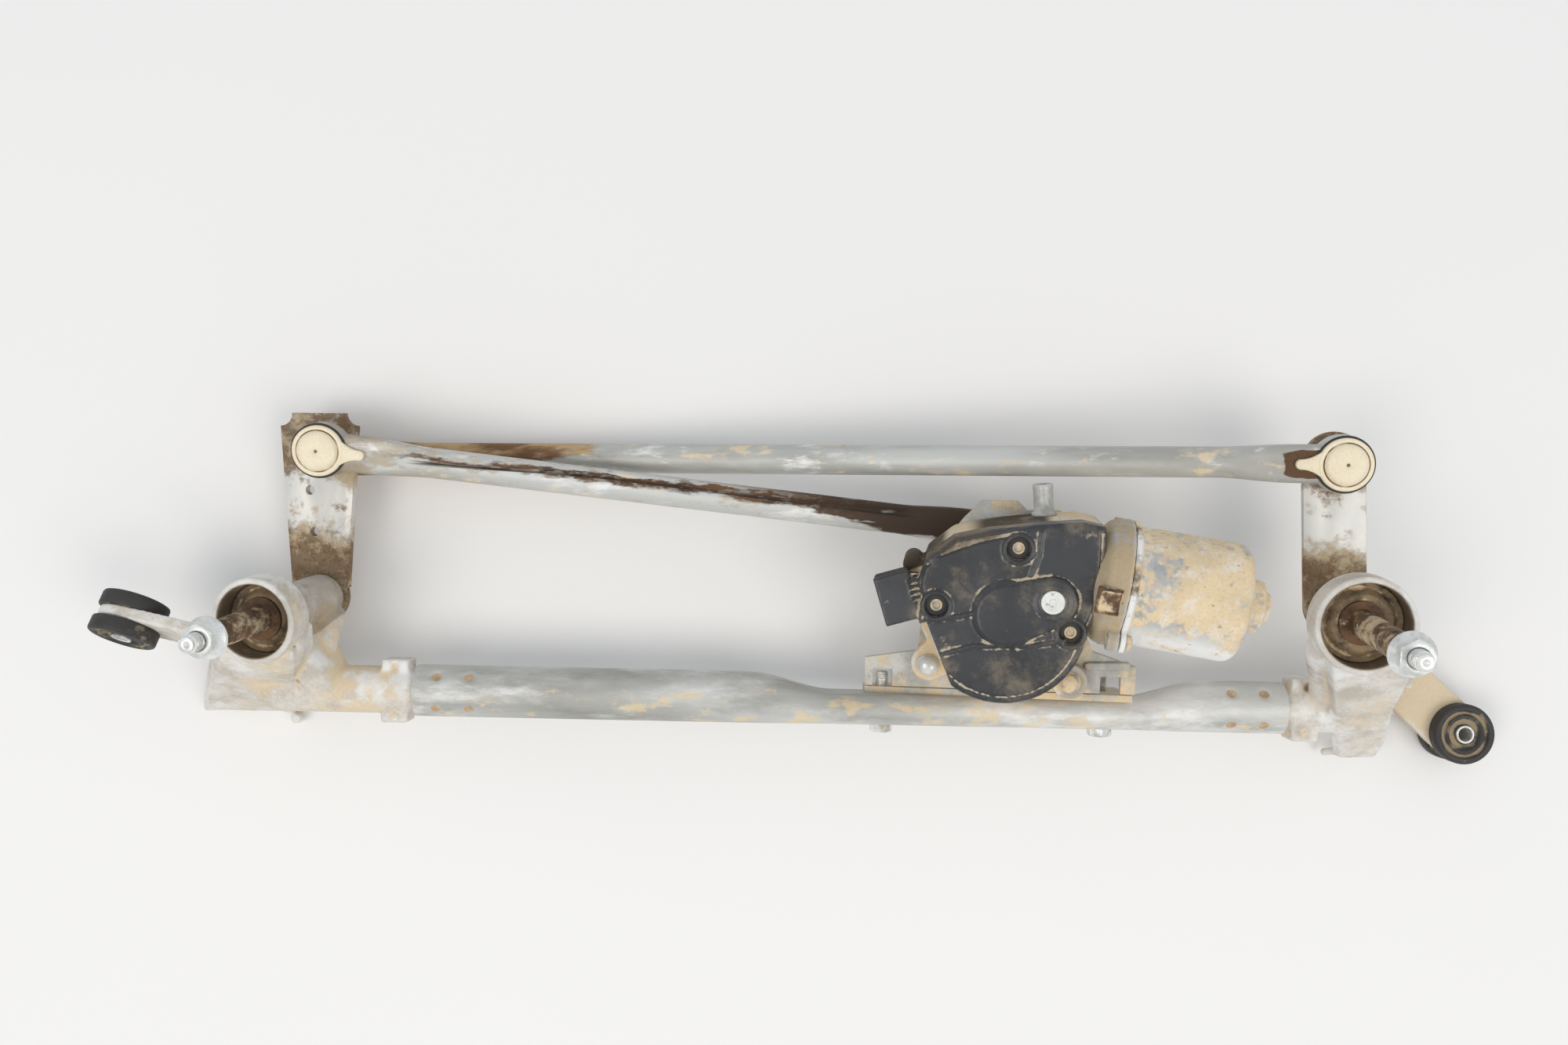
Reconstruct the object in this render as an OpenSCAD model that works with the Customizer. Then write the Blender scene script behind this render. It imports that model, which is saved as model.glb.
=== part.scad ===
// Windscreen wiper linkage with motor, lying on a table. Units are millimetres, +Z is up.
// Origin: centre of the right mounting bush on the table. +X runs along the frame tube.

/* [Linkage layout] */
// position of the left pivot at lever height, along the tube
link_x = -549.1; // [-600:0.1:-500]
// position of the left pivot at lever height, across the tube
link_y = 55.4; // [30:0.1:80]
// height of the left pivot at lever height
link_z = 15.6; // [12:0.1:30]
// lean of the pivot shafts toward the tube side
link_lean = 7; // [0:0.1:15]
// lean of the pivot shafts toward the left
link_splay = 7.7; // [0:0.1:15]
// distance between the two pivot shafts
pivot_span = 471.4; // [440:0.1:500]
// sideways offset of the right pivot
pivot_offset = 3.5; // [-10:0.1:10]
// drop of the right lever below the left one
pivot_drop = 28; // [20:0.5:40]

/* [Frame tube] */
// outside diameter of the frame tube
tube_d = 24; // [22:0.5:28]
// wall thickness of the frame tube
tube_wall = 1.8; // [1.2:0.1:2.4]
// left end of the frame tube
tube_x = -498; // [-505:0.5:-490]
// length of the frame tube
tube_len = 402; // [396:0.5:410]
// position of the tube axis across
tube_y = 13.3; // [8:0.1:18]
// height of the tube axis
tube_z = 36; // [30:0.5:42]
// thickness of the flattened middle
flat_w = 14; // [11:0.5:18]
// sideways set of the flattened middle
flat_shift = 3.5; // [0:0.5:5]
// start of the flattened middle from the left end
flat_from = 193; // [180:1:200]
// length of the flattened middle
flat_len = 139; // [130:1:145]
// length of the left taper
taper_left = 40; // [25:1:60]
// length of the right taper
taper_right = 33; // [25:1:50]
// diameter of the crimp dimples
dimple_d = 8; // [5:0.5:10]
// depth of the crimp dimples
dimple_depth = 1.2; // [0.6:0.1:1.4]
// clearance of the spigots in the tube
spigot_clear = 0.25; // [0.2:0.05:0.5]

/* [Pivot housings] */
// outside diameter of the bearing tubes
bearing_d = 22; // [20:0.5:25]
// outside diameter of the left cup
left_cup_d = 38; // [36:0.5:42]
// rim height of the left cup above its lever
left_rim = 66; // [58:0.5:70]
// outside diameter of the right cup
right_cup_d = 42; // [38:0.5:46]
// rim height of the right cup above its lever
right_rim = 47; // [42:0.5:52]
// depth of the cups
cup_depth = 13; // [10:0.5:16]
// wall thickness of the cups
cup_wall = 3; // [2:0.1:4]
// wall thickness of the skirts
skirt_t = 4; // [3:0.1:6]
// diameter of the thick part of the spigots
spigot_d = 22; // [20:0.5:23]
// grip length of the spigots in the tube
spigot_grip = 34; // [25:1:45]
// width of the collar tabs
collar_w = 12.5; // [8:0.5:15]
// span across the collar tabs
collar_span = 29.5; // [27:0.5:32]

/* [Mounting bushes] */
// outside diameter of the mounting bushes
bush_d = 29; // [26:0.5:34]
// thickness of the mounting bushes
bush_t = 19; // [16:0.5:22]
// thickness of the ears in the bush grooves
ear_t = 5.5; // [4:0.1:7]
// diameter of the bush grooves
groove_d = 20.4; // [18:0.2:22]
// diameter of the bolt holes in the sleeves
sleeve_bore = 6.6; // [6:0.1:8.4]
// wall thickness of the sleeves
sleeve_wall = 1; // [0.8:0.1:1.6]
// diameter of the sleeve flanges
sleeve_flange_d = 17; // [14:0.5:20]
// thickness of the sleeve flanges
sleeve_flange_t = 1; // [0.8:0.1:2]
// left bush position along the tube
left_bush_x = -622.3; // [-640:0.1:-600]
// left bush position across the tube
left_bush_y = 45.3; // [35:0.1:55]
// left bush height
left_bush_z = 58; // [50:0.5:70]
// tilt of the left bush
left_bush_tilt = 67; // [50:1:90]
// turn of the left bush
left_bush_turn = 12; // [0:1:30]

/* [Pivot shafts] */
// diameter of the pivot shafts
shaft_d = 12; // [10:0.5:13]
// running clearance of the shafts, on the radius
shaft_clear = 0.05; // [0.02:0.01:0.09]
// wall thickness of the shaft bushes
shaft_bush_wall = 2; // [1.5:0.1:3]
// height of the shaft tips above the levers
shaft_tip = 113; // [105:0.5:120]
// diameter of the arm threads
thread_d = 8; // [6:0.5:9]
// height of the nut seats above the levers
nut_seat = 98; // [90:0.5:102]
// width across flats of the arm nuts
nut_af = 13; // [11:0.5:14]
// height of the arm nuts
nut_h = 8; // [6:0.5:10]
// diameter of the arm nut flanges
nut_flange_d = 18; // [16:0.5:20]

/* [Levers] */
// thickness of the levers
lever_t = 4; // [3:0.1:5]
// link ball position across, from each pivot
link_arm_x = -4; // [-8:0.1:2]
// link ball position along, from each pivot
link_arm_y = 65.6; // [62:0.1:70]
// drive ball position across, from the left pivot
drive_arm_x = 10; // [8:0.1:12]
// drive ball position along, from the left pivot
drive_arm_y = 71.4; // [68:0.1:75]
// width of the left lever at its ball end
left_lever_w = 38; // [34:0.5:44]
// width of the left lever at its pivot end
left_lever_root = 27; // [24:0.5:30]
// length of the left lever beyond the link ball
left_lever_over = 22; // [18:0.5:26]
// width of the right lever
right_lever_w = 27; // [24:0.5:32]
// diameter of the gauge holes in the left lever
gauge_d = 4.5; // [3:0.1:6]

/* [Ball joints] */
// diameter of the balls
ball_d = 16; // [14:0.5:16]
// height of the balls from the middle of the lever
ball_h = 13; // [12.5:0.1:14]
// height of the drive ball from the middle of the lever
drive_ball_h = 18; // [17:0.1:19]
// diameter of the stud necks
neck_d = 7.6; // [6:0.2:8]
// clearance of the balls in the sockets
ball_clear = 0.15; // [0.1:0.01:0.3]
// diameter of the stud feet
foot_d = 13; // [11:0.5:13]
// diameter of the socket barrels
socket_d = 20.4; // [20:0.1:21]
// diameter of the socket caps
cap_d = 23.4; // [22:0.2:25]
// diameter of the cap domes
dome_d = 18.6; // [16:0.2:20]

/* [Rods] */
// diameter of the rolled rods
rod_d = 14; // [12:0.5:14.5]
// wall thickness of the rolled rods
rod_wall = 1.6; // [1.2:0.1:2.2]
// width of the open seam of the rods
rod_seam = 1.4; // [0.8:0.1:2]
// diameter of the rod eyes
eye_d = 25.6; // [25:0.2:28]
// width of the flattened rod ends
rod_end_w = 17; // [15:0.5:19]
// thickness of the flattened rod ends
rod_end_t = 9; // [7:0.5:10]
// length of the flattened rod ends from the ball
rod_end_l = 38; // [30:1:50]
// downward set of the link rod between its ends
link_drop = 6; // [5.5:0.5:7]

/* [Crank] */
// crank axis along, from the left pivot
crank_x = 319.9; // [310:0.1:330]
// crank axis across, from the left pivot
crank_y = -0.1; // [-5:0.1:5]
// crank radius
crank_r = 34; // [31:0.1:36]
// crank angle in the pose shown
crank_angle = 83.1; // [70:0.1:95]
// height of the crank ball in the linkage
crank_ball_z = -32; // [-33:0.5:-31]
// thickness of the crank arm
crank_t = 5; // [4:0.1:6]
// width of the crank arm
crank_w = 22; // [18:0.5:24]
// free gap at the crank stud
crank_gap = 0.4; // [0.3:0.05:0.6]
// diameter of the output shaft
out_d = 10; // [8:0.5:11]

/* [Motor] */
// height of the bracket top face in the linkage
plate_z = -7.3; // [-9:0.1:-6]
// thickness of the bracket
plate_t = 3; // [2:0.1:3.5]
// turn of the motor axis from the tube
motor_turn = 8.8; // [0:0.1:15]
// distance from the output shaft to the armature
worm_y = 26.5; // [26.2:0.1:28]
// height of the armature axis above the bracket
worm_z = 24; // [23:0.5:27]
// height of the joint between gear housing and cover
split_z = 32; // [31:0.5:35]
// height of the top of the cover
cover_z = 43; // [41:0.5:47]
// radius of the round end of the gear housing
gear_r = 36; // [34:0.5:38]
// diameter of the motor yoke
yoke_d = 51; // [50:0.5:55]
// wall thickness of the yoke
yoke_wall = 2; // [1.5:0.1:2.5]
// length of the yoke body
yoke_len = 49.5; // [46:0.5:54]
// diameter of the rear boss
boss_d = 22.5; // [20:0.5:26]
// diameter of the worm wheel
wheel_d = 42; // [40:0.5:42]
// diameter of the armature core
core_d = 37; // [33:0.5:38]
// diameter of the armature shaft
arm_shaft_d = 8; // [6:0.5:8.5]
// diameter of the locating peg
peg_d = 9; // [8:0.5:10]
// length of the locating peg
peg_len = 14; // [10:0.5:16]
// height of the locating peg above the bracket
peg_z = 12; // [10:0.5:20]
// diameter of the bracket bolts
bolt_d = 6; // [5:0.5:7]
// radial clearance of screws and bolts
bolt_clear = 0.15; // [0.1:0.05:0.4]
// width of the connector
plug_w = 21.4; // [20:0.2:25]
// length of the connector
plug_len = 17; // [14:0.5:20]

/* [Hidden] */
$fn = 64;
shaft_r = shaft_d / 2;
bore_r = shaft_r + shaft_clear;
bush_or = bore_r + shaft_bush_wall;
tube_r = tube_d / 2;
tube_ir = tube_r - tube_wall;
flat_h = flat_w + (3.14159 * (tube_d - flat_w)) / 2;
flat_y = tube_y - flat_shift;
face_y = flat_y + flat_w / 2;
sock_r = ball_d / 2 + ball_clear;
lev = lever_t / 2;
eye_bore = socket_d / 2 + 0.05;
bolt_hole = bolt_d / 2 + bolt_clear;
bolt_x1 = -282;
bolt_x2 = -180;
right_at = [pivot_span, pivot_offset, -pivot_drop];
drive_a = [drive_arm_x, drive_arm_y, drive_ball_h];
crank_pin = [crank_x + crank_r * cos(crank_angle), crank_y + crank_r * sin(crank_angle), crank_ball_z];
link_a = [link_arm_x, link_arm_y, -ball_h];
link_b = right_at + [link_arm_x, link_arm_y, ball_h];
arm_lo = crank_ball_z + ball_h - lev;
wheel_r = wheel_d / 2;
yoke_x = 48;
yoke_end = yoke_x + yoke_len;
yoke_ir = yoke_d / 2 - yoke_wall;
out_r = out_d / 2;
worm_r = worm_y - wheel_r - 0.5;
lugs = [[-26, -27], [36.5, -24]];
blind = [-6, 35.5];
screws = [[1, 36], [-28.5, 6], [28.4, 4.6]];
cover_pts = [[-38, 15], [-36, 26], [-26, 36.5], [-12, 42], [8, 47.6], [25, 51.6], [34.5, 51], [38.4, 23],
    [34, 2], [0, -6], [-33, 4]];
wall_a = cover_pts[4];
wall_b = cover_pts[5];
peg_at = wall_a + 0.2 * (wall_b - wall_a);
peg_turn = atan2(wall_b[1] - wall_a[1], wall_b[0] - wall_a[0]);
boss_lo = -plate_t - 1.7;
bearing_r = worm_r + 2.4;
wheel_bore = wheel_r + 1;
yoke_ear = yoke_d / 2 + 4.6;
ear_turn = 45;
vent_at = [18.6, 16.6];
plug_at = [-36, 10];
plug_turn = 25.4;
plug_gap = 0.4;

// places the children in the linkage: left pivot at its origin, shafts along Z
module linkage() {
  translate([link_x, link_y, link_z])
    rotate([link_lean, -link_splay, 0])
      children();
}

// places the children on the right pivot
module at_right() {
  linkage()
    translate(right_at)
      children();
}

// places the children on the output shaft at the top of the bracket, motor along X
module at_motor() {
  linkage()
    translate([crank_x, crank_y, plate_z])
      rotate([0, 0, -motor_turn])
        children();
}

// places the children on the armature axis
module at_armature() {
  at_motor()
    translate([0, worm_y, worm_z])
      rotate([0, 90, 0])
        children();
}

// places the children on the left mounting bush
module at_left_bush() {
  translate([left_bush_x, left_bush_y, left_bush_z])
    rotate([left_bush_tilt, 0, -left_bush_turn])
      children();
}

// places the children on the right mounting bush
module at_right_bush() {
  translate([0, 0, sleeve_flange_t + bush_t / 2])
    children();
}

// a pipe along Z
module pipe(ro, ri, z0, z1) {
  translate([0, 0, z0])
    difference() {
      cylinder(r = ro, h = z1 - z0);
      translate([0, 0, -1])
        cylinder(r = ri, h = z1 - z0 + 2);
    }
}

// a solid round along Z
module bar(r, z0, z1) {
  translate([0, 0, z0])
    cylinder(r = r, h = z1 - z0);
}

// one point of the tube section, blended from round to flattened
function ring_pt(x, a, t, cut) =
  let (r = tube_r - cut, w = flat_w / 2 - cut, s = (flat_h - flat_w) / 2)
  [x, (1 - t) * r * cos(a) + t * w * cos(a) - t * flat_shift,
   (1 - t) * r * sin(a) + t * (w * sin(a) + sign(sin(a)) * s)];
function ease(u) = u * u * (3 - 2 * u);
tube_rings = concat([[0, 0]],
  [for (i = [0 : 5]) [flat_from - taper_left + taper_left * i / 5, ease(i / 5)]],
  [for (i = [0 : 5]) [flat_from + flat_len + taper_right * i / 5, 1 - ease(i / 5)]],
  [[tube_len, 0]]);
tube_n = 24;

module frame_tube() {
  nr = len(tube_rings);
  outer = [for (k = tube_rings) for (i = [0 : tube_n - 1]) ring_pt(k[0], (i + 0.5) * 360 / tube_n, k[1], 0)];
  inner = [for (k = tube_rings) for (i = [0 : tube_n - 1])
    ring_pt(k[0], (i + 0.5) * 360 / tube_n, k[1], tube_wall)];
  m = nr * tube_n;
  e = (nr - 1) * tube_n;
  skin = [for (k = [0 : nr - 2]) for (i = [0 : tube_n - 1])
    let (j = (i + 1) % tube_n, p = k * tube_n, q = p + tube_n)
    each [[p + i, q + i, q + j], [p + i, q + j, p + j]]];
  core = [for (f = skin) [f[0] + m, f[2] + m, f[1] + m]];
  lids = [for (i = [0 : tube_n - 1])
    let (j = (i + 1) % tube_n)
    each [[i, j, j + m], [i, j + m, i + m], [e + j, e + i, e + i + m], [e + j, e + i + m, e + j + m]]];
  color([0.62, 0.62, 0.6])
    difference() {
      translate([tube_x, tube_y, tube_z])
        polyhedron(points = concat(outer, inner), faces = concat(skin, core, lids));
      for (x = [bolt_x1, bolt_x2])
        translate([x, flat_y - flat_w, tube_z])
          rotate([-90, 0, 0])
            cylinder(r = bolt_hole, h = 2 * flat_w);
      for (x = [10.5, 25.5, tube_len - 25.5, tube_len - 10.5], a = [50, 130])
        translate([tube_x + x, tube_y, tube_z])
          rotate([a - 90, 0, 0])
            translate([0, 0, tube_r + dimple_d / 2 - dimple_depth])
              sphere(d = dimple_d);
    }
}

// cup and bearing tube, turned about the pivot shaft
module cup(cup_d, rim) {
  floor_z = rim - cup_depth;
  rotate_extrude()
    polygon([[bush_or, 4.5], [bearing_d / 2, 4.5], [bearing_d / 2, floor_z - 12], [cup_d / 2, floor_z - 1],
      [cup_d / 2, rim], [cup_d / 2 - cup_wall, rim], [cup_d / 2 - cup_wall, floor_z], [bush_or, floor_z]]);
}

// spigot along X that carries the tube end, with its collar tabs; dir is the side of the tube
module spigot(end_x, dir, root) {
  translate([end_x, tube_y, tube_z])
    rotate([0, 90 * dir, 0]) {
      bar(spigot_d / 2, -root, -2.5);
      bar(tube_ir - spigot_clear, -4, spigot_grip);
      for (s = [-1, 1])
        translate([-6, s > 0 ? 8 : -collar_span / 2, -3 - collar_w])
          cube([12, collar_span / 2 - 8, collar_w]);
    }
}

module left_housing() {
  color([0.74, 0.72, 0.68])
    difference() {
      union() {
        linkage()
          cup(left_cup_d, left_rim);
        spigot(tube_x, 1, 58);
        hull() {
          linkage()
            translate([2, -11, 14])
              cylinder(r = 5, h = 34, $fn = 24);
          translate([tube_x - 44, tube_y, tube_z])
            rotate([0, 90, 0])
              cylinder(r = spigot_d / 2 - 1, h = 10, $fn = 32);
        }
        hull() {
          linkage()
            translate([-18, -17, 52])
              cube([34, skirt_t, 10]);
          translate([-611, -3, 0])
            cube([43, skirt_t, 5]);
        }
        hull() {
          linkage()
            translate([-19, -14, 48])
              cube([skirt_t, 12, 14]);
          translate([-611, -3, 0])
            cube([skirt_t, 12, 8]);
        }
        hull() {
          linkage()
            translate([13, -14, 46])
              cube([skirt_t, 10, 12]);
          translate([-572, -3, 0])
            cube([skirt_t, 12, 8]);
        }
        at_left_bush()
          translate([0, 0, -ear_t / 2])
            hull() {
              cylinder(r = bush_d / 2 - 1.5, h = ear_t, $fn = 48);
              translate([54, 0, 0])
                cylinder(r = bush_d / 2 - 3, h = ear_t, $fn = 48);
            }
      }
      linkage()
        bar(bush_or, 0, left_rim - cup_depth + 0.1);
      linkage()
        bar(left_cup_d / 2 - cup_wall, left_rim - cup_depth, left_rim + 20);
      at_left_bush()
        bar(groove_d / 2, -20, 20);
    }
}

module right_housing() {
  color([0.74, 0.72, 0.68])
    difference() {
      union() {
        at_right()
          cup(right_cup_d, right_rim);
        spigot(tube_x + tube_len, -1, 46);
        hull() {
          at_right()
            translate([4, -11, 18])
              cylinder(r = 5, h = 16, $fn = 24);
          translate([tube_x + tube_len + 18, tube_y, tube_z])
            rotate([0, 90, 0])
              cylinder(r = spigot_d / 2 - 1, h = 26, $fn = 32);
        }
        hull() {
          at_right()
            translate([-8, -20, 30])
              cube([28, skirt_t, 12]);
          translate([-56, -13, 8])
            cube([23, skirt_t, 6]);
        }
        hull() {
          at_right()
            translate([-12, -18, 30])
              cube([skirt_t + 2, 14, 14]);
          translate([-58, -13, 8])
            cube([skirt_t + 2, 14, 8]);
        }
        hull() {
          at_right()
            translate([14, -16, 28])
              cube([skirt_t, 12, 14]);
          translate([-38, -13, 8])
            cube([skirt_t + 2, 14, 8]);
        }
        at_right_bush()
          hull() {
            translate([0, 0, -ear_t / 2])
              cylinder(r = bush_d / 2 - 1.5, h = ear_t, $fn = 48);
            translate([-37, 33, -ear_t / 2])
              cylinder(r = bush_d / 2 - 1.5, h = ear_t, $fn = 48);
          }
        hull() {
          translate([-37, 33, sleeve_flange_t + bush_t / 2 - ear_t / 2])
            cylinder(r = 9, h = ear_t, $fn = 32);
          translate([-62, 27, 44])
            cube([14, 9, 20]);
        }
      }
      at_right()
        bar(bush_or, 0, right_rim - cup_depth + 0.1);
      at_right()
        bar(right_cup_d / 2 - cup_wall, right_rim - cup_depth, right_rim + 20);
      at_right_bush()
        bar(groove_d / 2, -20, 20);
    }
}

// plain bearing bush of a pivot shaft
module shaft_bush(rim) {
  color([0.55, 0.43, 0.26])
    pipe(bush_or, bore_r, 4.5, rim - cup_depth);
}

module left_shaft_bush() {
  linkage()
    shaft_bush(left_rim);
}

module right_shaft_bush() {
  at_right()
    shaft_bush(right_rim);
}

// rubber seal on the floor of a cup
module seal(cup_d, rim) {
  z = rim - cup_depth;
  color([0.08, 0.08, 0.08]) {
    pipe(cup_d / 2 - cup_wall, shaft_r + 0.4, z, z + 4);
  }
}

module left_seal() {
  linkage()
    seal(left_cup_d, left_rim);
}

module right_seal() {
  at_right()
    seal(right_cup_d, right_rim);
}

// rubber mounting bush with a groove for the ear
module mount_bush() {
  w = sleeve_bore / 2 + sleeve_wall;
  color([0.07, 0.07, 0.07])
    rotate_extrude()
      polygon([[w, -bush_t / 2], [bush_d / 2 - 1, -bush_t / 2], [bush_d / 2, -bush_t / 2 + 1],
        [bush_d / 2, -ear_t / 2], [groove_d / 2, -ear_t / 2], [groove_d / 2, ear_t / 2],
        [bush_d / 2, ear_t / 2], [bush_d / 2, bush_t / 2 - 1], [bush_d / 2 - 1, bush_t / 2],
        [11.4, bush_t / 2], [11, bush_t / 2 - 1.6], [9.6, bush_t / 2 - 1.6], [9.2, bush_t / 2],
        [w, bush_t / 2]]);
}

module left_bush() {
  at_left_bush()
    mount_bush();
}

module right_bush() {
  at_right_bush()
    mount_bush();
}

// steel sleeve of a mounting bush, its flange on the back
module bush_sleeve() {
  color([0.7, 0.68, 0.62]) {
    difference() {
      union() {
        bar(sleeve_bore / 2 + sleeve_wall, -bush_t / 2, bush_t / 2);
        bar(sleeve_flange_d / 2, -bush_t / 2 - sleeve_flange_t, -bush_t / 2);
      }
      bar(sleeve_bore / 2, -bush_t, bush_t);
    }
  }
}

module left_bush_sleeve() {
  at_left_bush()
    bush_sleeve();
}

module right_bush_sleeve() {
  at_right_bush()
    bush_sleeve();
}

module motor_bracket() {
  color([0.45, 0.47, 0.43])
    difference() {
      union() {
        linkage()
          translate([crank_x, crank_y, plate_z - plate_t])
            linear_extrude(plate_t)
              polygon([[-60, -36], [62, -36], [62, -23.4], [43, -17], [32, 8], [27, 40], [27, 47], [12, 47],
                [8, 51], [-8, 51], [-16, 43], [-26, 30], [-34, 0], [-36, -19], [-60, -23]]);
        translate([0, face_y + plate_t, 0])
          rotate([90, 0, 0])
            linear_extrude(plate_t)
              polygon([[-290, tube_z - 12], [-170, tube_z - 12], [-170, 54.5], [-290, 38]]);
      }
      at_motor()
        bar(12, -20, 20);
      for (p = concat(lugs, [blind]))
        at_motor()
          translate([p[0], p[1], 0])
            bar(bolt_hole, -20, 20);
      for (x = [bolt_x1, bolt_x2]) {
        translate([x, 0, tube_z])
          rotate([-90, 0, 0])
            cylinder(r = bolt_d / 2, h = 60);
        translate([x - 4.5, face_y + plate_t, 20])
          cube([9, 8.5, 60]);
      }
    }
}

module bracket_bolts() {
  color([0.6, 0.57, 0.5])
    for (x = [bolt_x1, bolt_x2])
      translate([x, flat_y - flat_w / 2, tube_z])
        rotate([-90, 0, 0]) {
          bar(bolt_d / 2, 0, flat_w + plate_t + 7);
          translate([0, 0, -bolt_d * 0.7])
            cylinder(r = bolt_d * 0.95, h = bolt_d * 0.7, $fn = 6);
        }
}

module motor_bolts() {
  color([0.75, 0.75, 0.73])
    for (p = lugs)
      at_motor()
        translate([p[0], p[1], 0]) {
          bar(bolt_d / 2, -plate_t - 2, 9);
          translate([0, 0, 8])
            cylinder(r = bolt_d * 0.9, h = 5, $fn = 6);
          bar(bolt_d * 1.1, 8, 9);
        }
  color([0.75, 0.75, 0.73])
    at_motor()
      translate([blind[0], blind[1], 0]) {
        bar(bolt_d / 2, -plate_t, 10);
        translate([0, 0, -plate_t - 2.6])
          cylinder(r = bolt_d * 0.9, h = 2.6, $fn = 6);
      }
}

module locating_peg() {
  color([0.66, 0.66, 0.64])
    at_motor()
      translate([peg_at[0], peg_at[1], peg_z])
        rotate([-90, 0, peg_turn]) {
          bar(3, -4, 0);
          bar(peg_d / 2, 0, peg_len);
          bar(peg_d / 2 + 1, 0, 1.6);
        }
}

module gear_housing() {
  color([0.66, 0.65, 0.62])
    at_motor()
      difference() {
        union() {
          translate([0, 4, 0])
            cylinder(r = gear_r, h = split_z);
          linear_extrude(split_z)
            polygon(cover_pts);
          translate([yoke_x - 13, worm_y - 19, 4])
            cube([10, 38, split_z - 4]);
          translate([yoke_x - 9, worm_y, worm_z])
            rotate([0, 90, 0])
              cylinder(r = yoke_d / 2 - 1, h = 5);
          translate([yoke_x - 6, worm_y, worm_z])
            rotate([0, 90, 0]) {
              cylinder(r = yoke_d / 2 + 2, h = 6);
              for (s = [0, 180])
                rotate([0, 0, ear_turn + s])
                  translate([yoke_ear, 0, 0])
                    bar(4.5, 0.5, 5.7);
            }
          for (p = lugs)
            translate([p[0], p[1], 0]) {
              cylinder(r = 8, h = 8);
              rotate([0, 0, atan2(p[1] - 4, p[0])])
                translate([-16, -5.5, 0])
                  cube([16, 11, 8]);
            }
          bar(11, boss_lo, 0.1);
        }
        translate([peg_at[0], peg_at[1], peg_z])
          rotate([-90, 0, peg_turn])
            bar(3, -4, 4);
        bar(wheel_bore, 6, split_z + 1);
        bar(out_r + 2.5, -10, 7);
        for (p = lugs)
          translate([p[0], p[1], 0])
            bar(bolt_hole, -1, 9);
        translate([blind[0], blind[1], 0])
          bar(bolt_d / 2, -1, 10);
        for (p = lugs)
          translate([p[0], p[1], 8])
            cylinder(r = 8.5, h = 60);
        translate([-21.5, worm_y, worm_z])
          rotate([0, 90, 0])
            cylinder(r = worm_r + 1, h = yoke_x + 20);
        translate([-27, worm_y, worm_z])
          rotate([0, 90, 0])
            cylinder(r = 3 + shaft_clear, h = 10);
        translate([28, worm_y, worm_z])
          rotate([0, 90, 0])
            cylinder(r = bearing_r, h = 8);
        translate([yoke_x - 10, worm_y, worm_z])
          rotate([0, 90, 0])
            cylinder(r = 22, h = 15);
        for (p = screws)
          translate([p[0], p[1], split_z - 12])
            cylinder(r = 2, h = 20);
        for (s = [0, 180])
          translate([yoke_x - 11, worm_y, worm_z])
            rotate([0, 90, 0])
              rotate([0, 0, ear_turn + s])
                translate([yoke_ear, 0, 0])
                  cylinder(r = 2, h = 20);
        translate([plug_at[0], plug_at[1], split_z - 5 - plug_gap])
          rotate([0, 0, plug_turn])
            translate([-plug_len - 1, -plug_w / 2 - plug_gap, 0])
              cube([plug_len - 1.6 + plug_gap, plug_w + 2 * plug_gap, 20]);
      }
}

module gear_cover() {
  color([0.07, 0.07, 0.08])
    at_motor()
      difference() {
        union() {
          translate([0, 4, split_z])
            cylinder(r = gear_r - 1, h = cover_z - split_z);
          translate([0, 0, split_z])
            linear_extrude(cover_z - split_z)
              polygon(cover_pts);
          translate([1, 8, cover_z])
            cylinder(r1 = 15, r2 = 14, h = 2);
          translate([plug_at[0], plug_at[1], split_z - 5])
            rotate([0, 0, plug_turn])
              translate([-plug_len - 1, -plug_w / 2, 0])
                cube([plug_len - 1.6, plug_w, 14]);
          translate([plug_at[0], plug_at[1], split_z])
            rotate([0, 0, plug_turn])
              translate([-4, -7, 0])
                cube([12, 14, 8]);
        }
        translate([0, 0, split_z - 1])
          cylinder(r = wheel_bore, h = 7);
        translate([plug_at[0], plug_at[1], split_z - 3])
          rotate([0, 0, plug_turn])
            translate([-plug_len - 2, -plug_w / 2 + 2, 0])
              cube([plug_len - 3, plug_w - 4, 10]);
        for (p = screws)
          translate([p[0], p[1], 0]) {
            cylinder(r = 2 + bolt_clear, h = 80);
            translate([0, 0, cover_z - 4])
              cylinder(r = 4.8, h = 20);
          }
        translate([vent_at[0], vent_at[1], cover_z - 2])
          cylinder(r = 5, h = 5);
        for (p = lugs)
          translate([p[0], p[1], 8])
            cylinder(r = 8.5, h = 60);
      }
}

module cover_screws() {
  color([0.62, 0.6, 0.55])
    at_motor()
      for (p = screws)
        translate([p[0], p[1], 0]) {
          bar(2, split_z - 11, cover_z - 4);
          bar(4, cover_z - 4, cover_z - 1.6);
        }
}

module vent_plug() {
  color([0.85, 0.84, 0.8])
    at_motor()
      translate([vent_at[0], vent_at[1], cover_z - 2])
        cylinder(r = 5, h = 2.6);
}

module connector_pins() {
  color([0.72, 0.6, 0.3])
    at_motor()
      translate([plug_at[0], plug_at[1], split_z + 2])
        rotate([0, 0, plug_turn])
          for (s = [-1.5, -0.5, 0.5, 1.5])
            translate([-10, s * 4.2 - 0.4, -0.4])
              cube([5, 0.8, 0.8]);
}

module output_bush() {
  color([0.55, 0.43, 0.26])
    at_motor()
      pipe(out_r + 2.5, out_r + shaft_clear, boss_lo, 6);
}

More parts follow.
